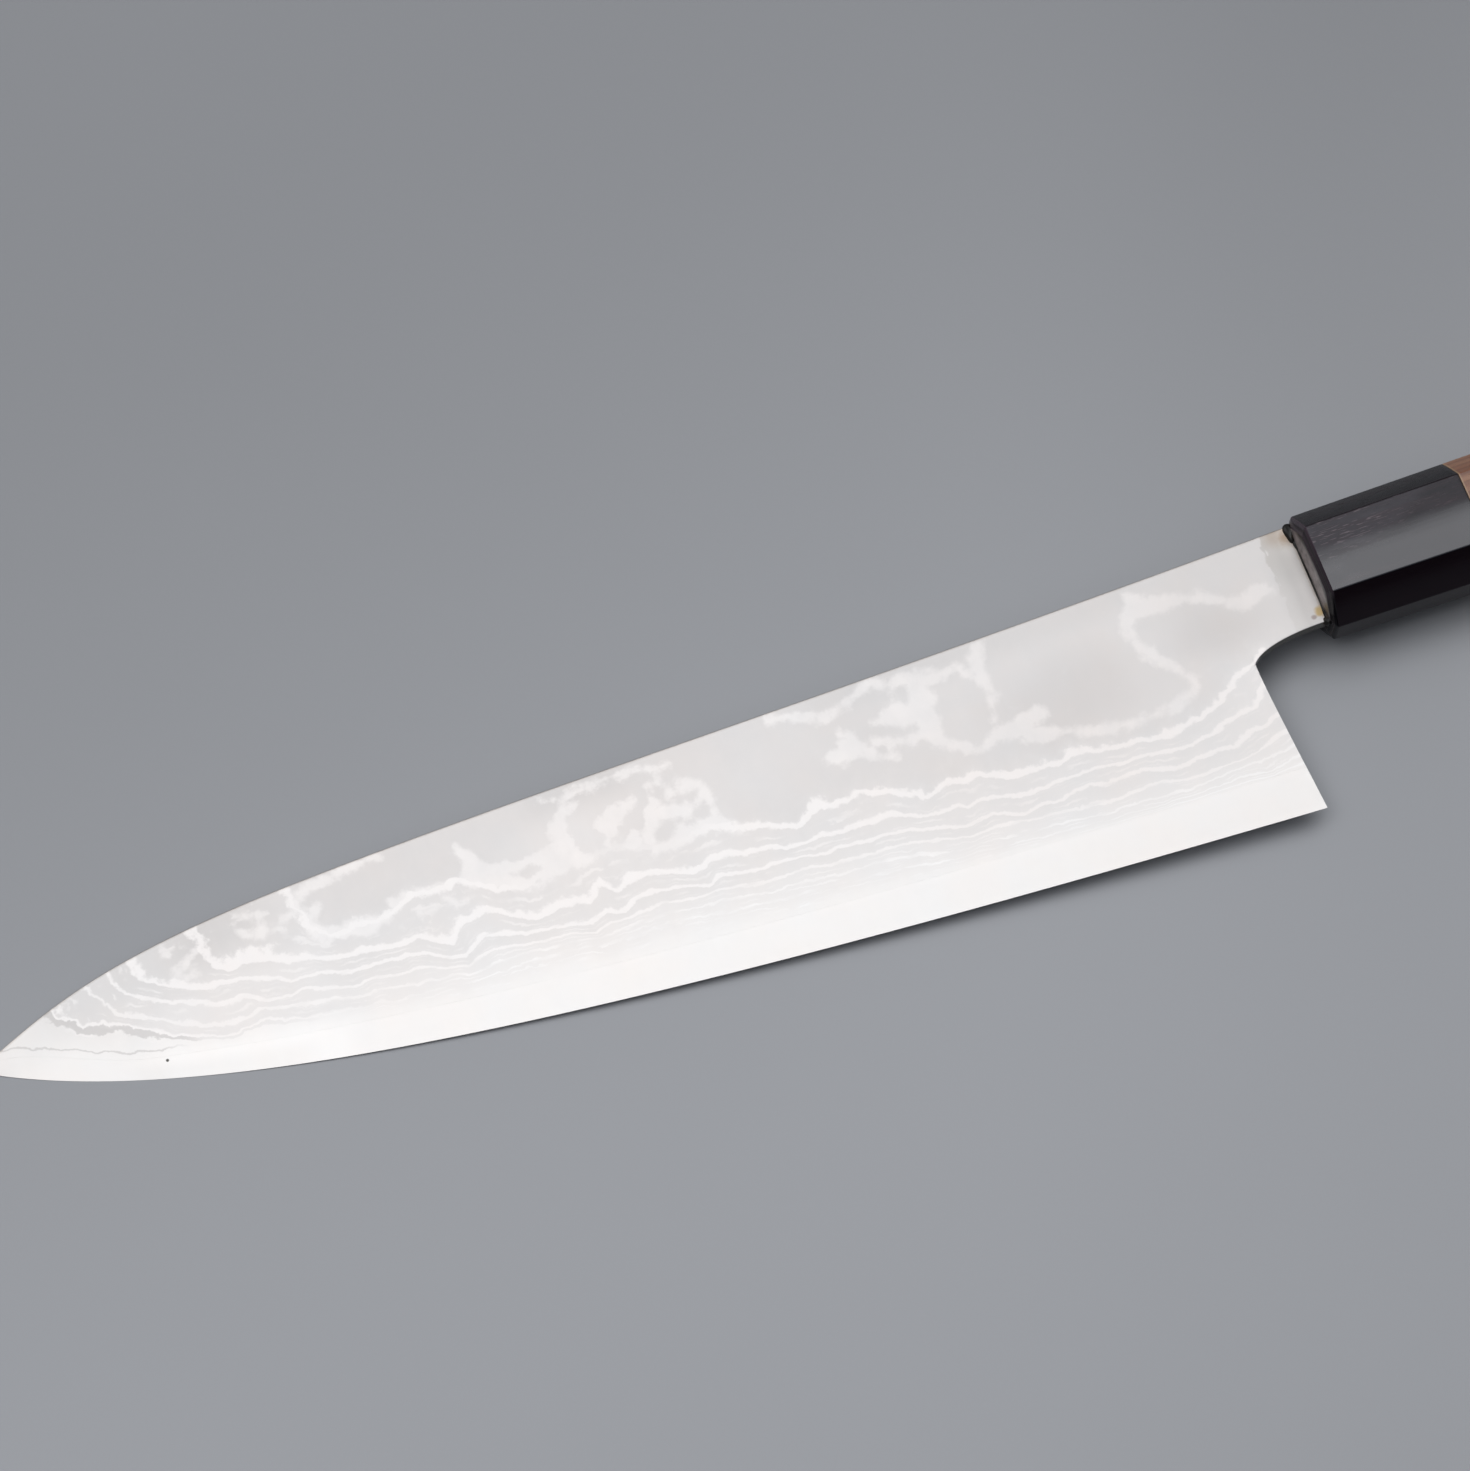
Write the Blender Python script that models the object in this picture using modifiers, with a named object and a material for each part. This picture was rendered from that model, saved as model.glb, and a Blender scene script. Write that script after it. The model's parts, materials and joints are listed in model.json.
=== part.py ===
"""A Japanese chef's knife with a laminated blade and an octagonal wooden handle.

The knife is drawn in its own axes: X runs along the handle from the tip towards the butt, Y rises from
the cutting edge to the spine, and Z points out of the blade's left face. X is 0 at the front of the
ferrule, and the handle's axis is Y = Z = 0. One empty then lays the whole knife down on its right side,
the way it rests on a table: on the belly of its edge and on a lower corner of the ferrule.
All sizes are in metres.
"""
import math

import bmesh
import bpy
import numpy as np
from mathutils import Matrix, Vector

# Clearances
FIT_GAP = 0.0003
WELD_GAP = 0.00005

# Blade outline
EDGE_LENGTH = 0.240
HEEL_SETBACK = 0.0129
HEEL_DROP = 0.0416
TIP_DROP = 0.0072
EDGE_TIP_ANGLE = math.radians(-30.0)
EDGE_TIP_PULL = 0.038
EDGE_HEEL_ANGLE = math.radians(-2.75)
EDGE_HEEL_PULL = 0.143
SPINE_TIP_ANGLE = math.radians(24.0)
SPINE_TIP_PULL = 0.016
POINT_LENGTH = 0.063
POINT_SPINE_HEIGHT = 0.00685
POINT_SPINE_ANGLE = math.radians(2.8)
POINT_SPINE_PULL = 0.038
NECK_SPINE_HEIGHT = 0.0105
NECK_SPINE_ANGLE = math.radians(1.65)
BACK_SPINE_PULL = 0.044
NECK_SPINE_PULL = 0.095

# Heel and neck outline
HEEL_RAKE = 0.0024
CHOIL_DROP = 0.0133
CHOIL_RISE_PULL = 0.0018
NECK_UNDERSIDE_DROP = 0.0091
NECK_UNDERSIDE_PULL = 0.0110

# Blade thickness
NECK_THICKNESS = 0.0028
TIP_THICKNESS = 0.0005
DISTAL_POWER = 1.6
GRIND_POWER = 1.6
EDGE_FLAT = 0.00004
NECK_GRIND_START = 0.0220
NECK_GRIND_END = 0.0060
NECK_GRIND_DEPTH = 0.35
NECK_GRIND_FADE = 0.40

# Steel layers
CORE_SHARE = 0.23
TIP_CORE_LENGTH = 0.030
TIP_CORE_SOLID = 0.0012
CLADDING_FEATHER = 0.00003
CLADDING_TIP_DEPTH = 0.25

# Tang
TANG_LENGTH = 0.095
TANG_HEIGHT = 0.0086
TANG_END_HEIGHT = 0.0056
TANG_END_THICKNESS = 0.0018

# Handle
FERRULE_LENGTH = 0.0311
HANDLE_LENGTH = 0.145
FRONT_HEIGHT = 0.0228
FRONT_WIDTH = 0.0187
FRONT_SIDE_FACET = 0.0132
FRONT_TOP_FACET = 0.0063
BUTT_HEIGHT = 0.0260
BUTT_WIDTH = 0.0213
BUTT_SIDE_FACET = 0.0150
BUTT_TOP_FACET = 0.0072
END_BEVEL = 0.0013
CORNER_ROUND = 0.00035

# Inside the handle
GLUE_THICKNESS = 0.0004
MOUTH_WALL = 0.0080
DOWEL_WALL = 0.0008
DOWEL_END = 0.0080

# How the knife lies
RESTING_POINT = 0.021

# Mesh steps
CURVE_STEPS = 400
BLADE_STATIONS = 44
TIP_CROWDING = 1.15
TIP_GAP_STEP = 0.0005
FAN_LENGTH = 0.012
HEEL_STATIONS = 6
CHOIL_STATIONS = 12
CORE_ROWS = (0.0, 0.30, 0.60, 0.81, 0.88, 0.94, 0.98, 1.0)
CLADDING_ROWS = (0.0, 0.14, 0.30, 0.46, 0.62, 0.78, 0.90, 1.0)
ROUND_SEGMENTS = 48
SHARP_ANGLE = math.radians(30.0)
TANGENT_STEP = 0.002

TIP_X = -(EDGE_LENGTH + HEEL_SETBACK)
HEEL_X = -HEEL_SETBACK
CHOIL_X = HEEL_X - HEEL_RAKE
SHOULDER_X = -FIT_GAP
GLUE_SPACE = FIT_GAP + GLUE_THICKNESS
SLOT_SPACE = GLUE_SPACE + FIT_GAP
BORE_START = MOUTH_WALL
DOWEL_FRONT = BORE_START + FIT_GAP
BEDDING_BACK = TANG_LENGTH + GLUE_SPACE
SLOT_BACK = TANG_LENGTH + SLOT_SPACE
DOWEL_BACK = SLOT_BACK + DOWEL_END
BORE_BACK = DOWEL_BACK + FIT_GAP
OVERSHOOT = 0.004


def clear_scene():
    """Takes every object out of the file."""
    for old in list(bpy.data.objects):
        bpy.data.objects.remove(old, do_unlink=True)


def new_collection(name):
    """Adds a collection to the scene."""
    collection = bpy.data.collections.new(name)
    bpy.context.scene.collection.children.link(collection)
    return collection


def smooth(value):
    """Eases a number from 0 to 1."""
    value = min(max(value, 0.0), 1.0)
    return value * value * (3.0 - 2.0 * value)


def direction(angle):
    """The unit vector at an angle from the handle's axis, in the blade's plane."""
    return np.array((math.cos(angle), math.sin(angle)))


def bezier(start, start_handle, end_handle, end, steps):
    """Points along a cubic curve."""
    t = np.linspace(0.0, 1.0, steps)[:, None]
    return ((1 - t) ** 3 * start + 3 * (1 - t) ** 2 * t * start_handle
            + 3 * (1 - t) * t ** 2 * end_handle + t ** 3 * end)


def edge_line():
    """The cutting edge from tip to heel."""
    tip = np.array((TIP_X, -TIP_DROP))
    heel = np.array((HEEL_X, -HEEL_DROP))
    return bezier(tip, tip + EDGE_TIP_PULL * direction(EDGE_TIP_ANGLE),
                  heel - EDGE_HEEL_PULL * direction(EDGE_HEEL_ANGLE), heel, CURVE_STEPS)


def spine_line():
    """The spine from tip to ferrule: the dropped point, then the long back."""
    tip = np.array((TIP_X, -TIP_DROP))
    shoulder = np.array((TIP_X + POINT_LENGTH, POINT_SPINE_HEIGHT))
    neck = np.array((0.0, NECK_SPINE_HEIGHT))
    along = direction(POINT_SPINE_ANGLE)
    point = bezier(tip, tip + SPINE_TIP_PULL * direction(SPINE_TIP_ANGLE),
                   shoulder - POINT_SPINE_PULL * along, shoulder, CURVE_STEPS)
    back = bezier(shoulder, shoulder + BACK_SPINE_PULL * along,
                  neck - NECK_SPINE_PULL * direction(NECK_SPINE_ANGLE), neck, CURVE_STEPS)
    return np.vstack((point, back[1:]))


def choil_line():
    """The tight turn above the heel and the neck's underside, as far as the ferrule."""
    heel = np.array((HEEL_X, -HEEL_DROP))
    choil = np.array((CHOIL_X, -CHOIL_DROP))
    neck = np.array((0.0, -NECK_UNDERSIDE_DROP))
    rise = (choil - heel) / np.linalg.norm(choil - heel)
    return bezier(choil, choil + CHOIL_RISE_PULL * rise, neck - np.array((NECK_UNDERSIDE_PULL, 0.0)),
                  neck, CHOIL_STATIONS)


EDGE = edge_line()
SPINE = spine_line()


def edge_y(x):
    """Height of the edge at a place along the blade."""
    return float(np.interp(x, EDGE[:, 0], EDGE[:, 1]))


def spine_y(x):
    """Height of the spine at a place along the blade or tang."""
    return float(np.interp(x, SPINE[:, 0], SPINE[:, 1]))


def spine_half(x):
    """Half the steel's thickness at the spine, which thins to the tip, or along the tang."""
    if x > 0.0:
        return (NECK_THICKNESS + (TANG_END_THICKNESS - NECK_THICKNESS) * x / TANG_LENGTH) / 2
    share = 1.0 - (x / TIP_X) ** DISTAL_POWER
    return (TIP_THICKNESS + (NECK_THICKNESS - TIP_THICKNESS) * share) / 2


def depth_at(x, y):
    """How far a point lies from the spine, 0, to the edge, 1."""
    top = spine_y(x)
    return min(max((top - y) / (top - edge_y(x)), 0.0), 1.0)


def half_thickness(x, y):
    """Half the blade's thickness: a convex grind from spine to edge that fades out at the neck."""
    depth = depth_at(x, y)
    ground = 1.0 - depth ** GRIND_POWER
    along = smooth((x + NECK_GRIND_START) / (NECK_GRIND_START - NECK_GRIND_END))
    across = 1.0 - smooth((depth - NECK_GRIND_DEPTH) / NECK_GRIND_FADE)
    full = along * across
    return max(spine_half(x) * (ground + (1.0 - ground) * full), EDGE_FLAT / 2)


def core_share(x):
    """The core's share of the thickness, which grows to all of it at the tip."""
    left = max(1.0 - (x - TIP_X) / TIP_CORE_LENGTH, 0.0)
    return CORE_SHARE + (1.0 - CORE_SHARE) * left ** 2


def core_half(x, y):
    """Half the core's thickness, under the cladding and where it is bare."""
    return min(core_share(x) * spine_half(x), half_thickness(x, y))


def cladding_depth(x):
    """The depth at which the cladding feathers out on the core."""
    room = 1.0 - core_share(x) - (WELD_GAP + CLADDING_FEATHER) / spine_half(x)
    return max(room, 0.0) ** (1.0 / GRIND_POWER)


def station_lines(start_gap, low_depth):
    """Pairs of points on the spine and on a steel layer's lower border, from tip to tang.

    Along the edge the pairs stand straight up. Towards the heel they fan out, so that the lower border can
    turn up the heel's back edge and round into the neck.
    """
    def low_point(x):
        return np.array((x, spine_y(x) - low_depth(x) * (spine_y(x) - edge_y(x))))

    start = TIP_X + start_gap
    fan_start = CHOIL_X - FAN_LENGTH
    spread = np.linspace(0.0, 1.0, BLADE_STATIONS) ** TIP_CROWDING
    stations = [((x, spine_y(x)), low_point(x)) for x in start + (fan_start - start) * spread]

    heel = np.array((HEEL_X, -HEEL_DROP))
    choil = choil_line()
    rise = (low_point(HEEL_X)[1] - heel[1]) / (choil[0][1] - heel[1])
    back = [heel + share * (choil[0] - heel) for share in np.linspace(rise, 1.0, HEEL_STATIONS)]
    lower = [low_point((fan_start + back[0][0]) / 2)] + back + list(choil[1:])
    upper = np.linspace(fan_start, 0.0, len(lower) + 1)[1:]
    stations += [((x, spine_y(x)), low) for x, low in zip(upper, lower)]
    stations += [((x, NECK_SPINE_HEIGHT), (x, -NECK_UNDERSIDE_DROP)) for x in (TANG_LENGTH / 2, TANG_LENGTH)]
    return stations


def loft(bm, rings, apex=None):
    """Joins rings of points into a skin and closes its ends, the first one on a point if there is one."""
    rows = [[bm.verts.new(p) for p in ring] for ring in rings]
    count = len(rows[0])
    for first, second in zip(rows, rows[1:]):
        for i in range(count):
            j = (i + 1) % count
            bm.faces.new((first[i], first[j], second[j], second[i]))
    if apex is None:
        bm.faces.new(rows[0])
    else:
        point = bm.verts.new(apex)
        for i in range(count):
            bm.faces.new((rows[0][(i + 1) % count], rows[0][i], point))
    bm.faces.new(rows[-1])
    bmesh.ops.recalc_face_normals(bm, faces=bm.faces)


def layer_rings(stations, rows, upper, lower):
    """Closed rings round one steel layer, from its upper and lower surface heights."""
    rings = []
    for (x0, y0), (x1, y1) in stations:
        line = [(x0 + v * (x1 - x0), y0 + v * (y1 - y0)) for v in rows]
        rings.append([(x, y, upper(x, y)) for x, y in line]
                     + [(x, y, lower(x, y)) for x, y in reversed(line)])
    return rings


def material(name, colour, roughness, metallic):
    """A plain finish for one sub-part."""
    finish = bpy.data.materials.new(name)
    finish.use_nodes = True
    shader = finish.node_tree.nodes["Principled BSDF"]
    shader.inputs["Base Color"].default_value = (*colour, 1.0)
    shader.inputs["Roughness"].default_value = roughness
    shader.inputs["Metallic"].default_value = metallic
    return finish


def add_object(bm, name, collection, finish=None, smooth_angle=None):
    """Makes a mesh object from the bmesh and puts it in a collection."""
    mesh = bpy.data.meshes.new(name)
    bm.to_mesh(mesh)
    bm.free()
    thing = bpy.data.objects.new(name, mesh)
    collection.objects.link(thing)
    if finish is not None:
        mesh.materials.append(finish)
    if smooth_angle is not None:
        mesh.shade_smooth()
        mesh.set_sharp_from_angle(angle=smooth_angle)
    return thing


def as_cutter(thing):
    """Marks an object as a cutter."""
    thing.hide_render = True
    thing.display_type = "WIRE"
    return thing


def cut(thing, cutter):
    """Takes the cutter's shape out of an object."""
    modifier = thing.modifiers.new("cut_" + cutter.name, "BOOLEAN")
    modifier.operation = "DIFFERENCE"
    modifier.solver = "EXACT"
    modifier.object = cutter


def tang_half_height(x):
    """Half the tang's height, which tapers from its shoulders to its end."""
    return (TANG_HEIGHT + (TANG_END_HEIGHT - TANG_HEIGHT) * x / TANG_LENGTH) / 2


def tang_block(name, collection, start, end, space, finish=None):
    """A tapered block that follows the tang with a space all round it."""
    rings = []
    for x in (start, end):
        height = tang_half_height(x) + space
        width = spine_half(max(x, 0.0)) + space
        rings.append([(x, height, width), (x, -height, width), (x, -height, -width), (x, height, -width)])
    bm = bmesh.new()
    loft(bm, rings)
    return add_object(bm, name, collection, finish)


def tang_shaper(collection):
    """The two wedges of steel that are ground away above and below the tang."""
    bm = bmesh.new()
    end = TANG_LENGTH + OVERSHOOT
    outside = max(NECK_SPINE_HEIGHT, NECK_UNDERSIDE_DROP) + OVERSHOOT
    thick = NECK_THICKNESS
    for side in (1.0, -1.0):
        rings = []
        for z in (-thick, thick):
            rings.append([(SHOULDER_X, side * tang_half_height(SHOULDER_X), z),
                          (end, side * tang_half_height(end), z),
                          (end, side * outside, z), (SHOULDER_X, side * outside, z)])
        loft(bm, rings)
    return as_cutter(add_object(bm, "tang_shaper", collection))


def add_blade(parts, cutters):
    """The hard core and the two layered cladding sheets, with the tang they run into."""
    shaper = tang_shaper(cutters)
    pieces = []
    bm = bmesh.new()
    stations = station_lines(TIP_CORE_SOLID, lambda x: 1.0)
    rings = layer_rings(stations, CORE_ROWS, core_half, lambda x, y: -core_half(x, y))
    loft(bm, rings, apex=(TIP_X, -TIP_DROP, 0.0))
    pieces.append(add_object(bm, "core_steel", parts, material("core_steel", (0.80, 0.79, 0.78), 0.24, 1.0)))

    tip_gap = TIP_CORE_SOLID
    while cladding_depth(TIP_X + tip_gap) < CLADDING_TIP_DEPTH:
        tip_gap += TIP_GAP_STEP
    stations = station_lines(tip_gap, cladding_depth)
    for name, side in (("cladding_left", 1.0), ("cladding_right", -1.0)):
        bm = bmesh.new()
        rings = layer_rings(stations, CLADDING_ROWS, lambda x, y: side * cladding_top(x, y),
                            lambda x, y: side * cladding_base(x))
        loft(bm, rings)
        finish = material(name, (0.66, 0.65, 0.64), 0.30, 1.0)
        pieces.append(add_object(bm, name, parts, finish))
    for piece in pieces:
        cut(piece, shaper)
    return pieces


def cladding_base(x):
    """Height of the cladding's welded face."""
    return core_share(x) * spine_half(x) + WELD_GAP


def cladding_top(x, y):
    """Height of the cladding's outer face."""
    return max(half_thickness(x, y), cladding_base(x) + CLADDING_FEATHER)


def octagon(x, inset=0.0):
    """The handle's section at a place along it, drawn in by an inset."""
    t = x / HANDLE_LENGTH
    height = (FRONT_HEIGHT + (BUTT_HEIGHT - FRONT_HEIGHT) * t) / 2
    width = (FRONT_WIDTH + (BUTT_WIDTH - FRONT_WIDTH) * t) / 2
    side = (FRONT_SIDE_FACET + (BUTT_SIDE_FACET - FRONT_SIDE_FACET) * t) / 2
    top = (FRONT_TOP_FACET + (BUTT_TOP_FACET - FRONT_TOP_FACET) * t) / 2
    normal = Vector((width - top, height - side)).normalized()
    reach = normal.x * height + normal.y * top - inset
    height -= inset
    width -= inset
    top = (reach - normal.x * height) / normal.y
    side = (reach - normal.y * width) / normal.x
    quarter = [(height, top), (side, width)]
    points = quarter + [(-y, z) for y, z in reversed(quarter)]
    points += [(-y, -z) for y, z in quarter] + [(y, -z) for y, z in reversed(quarter)]
    return [(x, y, z) for y, z in points]


def handle_block(name, collection, sections, finish):
    """An octagonal length of the handle with softened corners."""
    bm = bmesh.new()
    loft(bm, [octagon(x, inset) for x, inset in sections])
    thing = add_object(bm, name, collection, finish)
    bevel = thing.modifiers.new("soft_corners", "BEVEL")
    bevel.width = CORNER_ROUND
    bevel.segments = 2
    bevel.limit_method = "ANGLE"
    bevel.angle_limit = SHARP_ANGLE
    return thing


def rod(name, collection, radius, start, end, finish=None):
    """A round rod along the handle's axis."""
    bm = bmesh.new()
    place = Matrix.Translation(((start + end) / 2, 0.0, 0.0)) @ Matrix.Rotation(math.radians(90.0), 4, "Y")
    bmesh.ops.create_cone(bm, cap_ends=True, segments=ROUND_SEGMENTS, radius1=radius, radius2=radius,
                          depth=end - start, matrix=place)
    return add_object(bm, name, collection, finish, SHARP_ANGLE)


def add_handle(parts, cutters):
    """Ferrule, grip, the dowel that joins them and the adhesive round the tang."""
    mouth_height = tang_half_height(BORE_START) + SLOT_SPACE
    mouth_width = spine_half(BORE_START) + SLOT_SPACE
    dowel_radius = math.hypot(mouth_height, mouth_width) + DOWEL_WALL

    ferrule = handle_block("ferrule", parts, [(0.0, END_BEVEL), (END_BEVEL, 0.0), (FERRULE_LENGTH, 0.0)],
                           material("ferrule", (0.020, 0.012, 0.012), 0.16, 0.0))
    grip = handle_block("grip", parts, [(FERRULE_LENGTH + FIT_GAP, 0.0), (HANDLE_LENGTH - END_BEVEL, 0.0),
                                        (HANDLE_LENGTH, END_BEVEL)],
                        material("grip", (0.32, 0.18, 0.10), 0.42, 0.0))
    bore = as_cutter(rod("dowel_bore", cutters, dowel_radius + FIT_GAP, BORE_START, BORE_BACK))
    mortise = as_cutter(tang_block("mouth_mortise", cutters, -OVERSHOOT, BORE_START + FIT_GAP, SLOT_SPACE))
    cut(ferrule, bore)
    cut(ferrule, mortise)
    cut(grip, bore)

    dowel = rod("tang_dowel", parts, dowel_radius, DOWEL_FRONT, DOWEL_BACK,
                material("tang_dowel", (0.55, 0.40, 0.24), 0.60, 0.0))
    slot = as_cutter(tang_block("dowel_slot", cutters, DOWEL_FRONT - OVERSHOOT, SLOT_BACK, SLOT_SPACE))
    cut(dowel, slot)

    resin = (0.36, 0.17, 0.04)
    bedding = tang_block("tang_bedding", parts, DOWEL_FRONT, BEDDING_BACK, GLUE_SPACE,
                         material("tang_bedding", resin, 0.35, 0.0))
    seal = tang_block("machi_seal", parts, 0.0, BORE_START, GLUE_SPACE,
                      material("machi_seal", resin, 0.25, 0.0))
    pocket = as_cutter(tang_block("tang_pocket", cutters, -OVERSHOOT, TANG_LENGTH + FIT_GAP, FIT_GAP))
    cut(bedding, pocket)
    cut(seal, pocket)
    return [ferrule, grip, dowel, bedding, seal]


def evaluated_points(things):
    """Every point of the finished pieces, in the knife's own axes."""
    graph = bpy.context.evaluated_depsgraph_get()
    points = []
    for thing in things:
        mesh = thing.evaluated_get(graph).to_mesh()
        flat = np.empty(len(mesh.vertices) * 3)
        mesh.vertices.foreach_get("co", flat)
        points.append(flat.reshape(-1, 3))
        thing.evaluated_get(graph).to_mesh_clear()
    return np.vstack(points)


def lay_down(pieces, handle):
    """Turns the knife on to its right side: the belly of the edge and the handle touch the table."""
    bpy.context.view_layer.update()
    x = TIP_X + RESTING_POINT
    touch = np.array((x, edge_y(x), 0.0))
    along = np.array((x + TANGENT_STEP, edge_y(x + TANGENT_STEP), 0.0)) - touch
    along /= np.linalg.norm(along)
    across = np.cross((0.0, 0.0, 1.0), along)
    reach = evaluated_points(handle) - touch
    angle = float(np.arctan2(reach[:, 2], reach @ across).min())
    up = np.array((0.0, 0.0, 1.0)) * math.cos(angle) - across * math.sin(angle)
    forward = np.array((1.0, 0.0, 0.0)) - up[0] * up
    forward /= np.linalg.norm(forward)
    turn = np.array((forward, np.cross(up, forward), up))
    placed = evaluated_points(pieces) @ turn.T
    low, high = placed.min(axis=0), placed.max(axis=0)
    shift = -np.array(((low[0] + high[0]) / 2, (low[1] + high[1]) / 2, low[2]))
    rest = bpy.data.objects.new("resting_knife", None)
    bpy.context.scene.collection.objects.link(rest)
    rest.matrix_world = Matrix.Translation(Vector(shift)) @ Matrix(turn.tolist()).to_4x4()
    for thing in pieces + list(bpy.data.collections["cutters"].objects):
        thing.parent = rest
    bpy.context.view_layer.update()


def main():
    """Builds the knife."""
    clear_scene()
    parts = new_collection("gyuto_knife")
    cutters = new_collection("cutters")
    blade = add_blade(parts, cutters)
    handle = add_handle(parts, cutters)
    lay_down(blade + handle, handle)


main()
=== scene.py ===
"""The looks of a Japanese chef's knife: layered steel, a dark collar and a wooden grip, on a grey table.

Every piece is drawn in the knife's own axes, in metres: x runs from the tip towards the butt and is 0 at
the front of the collar, y rises from the cutting edge to the spine, and z points out of the blade's left
face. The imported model's mounts say how those axes lie in the world.
"""
from __future__ import annotations

import json
import logging
import math
from dataclasses import dataclass
from enum import Enum
from typing import Any, Callable, Mapping, Optional, Sequence, Union

import bmesh
import bpy
import numpy as np
from mathutils import Matrix, Vector

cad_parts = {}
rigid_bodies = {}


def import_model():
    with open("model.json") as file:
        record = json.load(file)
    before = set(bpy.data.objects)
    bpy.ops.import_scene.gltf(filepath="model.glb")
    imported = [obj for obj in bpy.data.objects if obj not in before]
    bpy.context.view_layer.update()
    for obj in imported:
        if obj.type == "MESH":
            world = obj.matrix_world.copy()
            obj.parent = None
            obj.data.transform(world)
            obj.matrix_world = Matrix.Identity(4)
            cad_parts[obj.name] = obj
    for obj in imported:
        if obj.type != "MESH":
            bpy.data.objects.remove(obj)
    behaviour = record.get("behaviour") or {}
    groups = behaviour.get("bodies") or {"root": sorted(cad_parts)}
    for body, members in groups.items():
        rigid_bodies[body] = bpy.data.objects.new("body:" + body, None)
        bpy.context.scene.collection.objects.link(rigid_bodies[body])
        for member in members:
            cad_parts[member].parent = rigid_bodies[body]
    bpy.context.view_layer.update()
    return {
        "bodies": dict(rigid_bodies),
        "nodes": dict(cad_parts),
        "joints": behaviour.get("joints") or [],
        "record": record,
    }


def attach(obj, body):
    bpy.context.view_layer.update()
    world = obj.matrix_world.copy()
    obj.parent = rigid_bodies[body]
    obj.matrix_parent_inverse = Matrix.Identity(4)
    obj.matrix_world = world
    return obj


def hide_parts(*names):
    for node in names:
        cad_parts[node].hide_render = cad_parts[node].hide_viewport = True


LOG = logging.getLogger("knife")
MM = 0.001
Colour = tuple[float, float, float]
Triple = tuple[float, float, float]
Span = tuple[float, float]
Window = tuple[float, float, float, float]
Points = Sequence[tuple[float, ...]]
Ring = np.ndarray
Source = Union["Value", float, tuple]
MESH_VALUES = ("rise", "depth", "layer", "pale")


class Side(Enum):
    """The two faces of the blade, as the sign of z."""

    LEFT = 1.0
    RIGHT = -1.0


def operator(operation: str, flipped: bool = False) -> Callable[[Value, Source], Value]:
    """Makes a method of Value that adds a Math node with two inputs.

    Args:
        operation: the node's operation.
        flipped: True puts the other input first.

    Returns:
        The method.
    """
    def method(self: Value, other: Source) -> Value:
        """Adds the node and returns its result."""
        return self.graph.maths(operation, *((other, self) if flipped else (self, other)))

    return method


def function(operation: str) -> Callable[[Value], Value]:
    """Makes a method of Value that adds a Math node with one input.

    Args:
        operation: the node's operation.

    Returns:
        The method.
    """
    def method(self: Value) -> Value:
        """Adds the node and returns its result."""
        return self.graph.maths(operation, self)

    return method


@dataclass(frozen=True, eq=False)
class Value:
    """A socket in a node tree that takes part in Python's arithmetic; each operator adds a Math node."""

    graph: Graph
    socket: bpy.types.NodeSocket

    __add__, __radd__ = operator("ADD"), operator("ADD", True)
    __sub__, __rsub__ = operator("SUBTRACT"), operator("SUBTRACT", True)
    __mul__, __rmul__ = operator("MULTIPLY"), operator("MULTIPLY", True)
    __truediv__, __rtruediv__ = operator("DIVIDE"), operator("DIVIDE", True)
    __pow__ = operator("POWER")
    at_least, at_most = operator("MAXIMUM"), operator("MINIMUM")
    above = operator("GREATER_THAN")
    whole, part, size = function("FLOOR"), function("FRACT"), function("ABSOLUTE")


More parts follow.
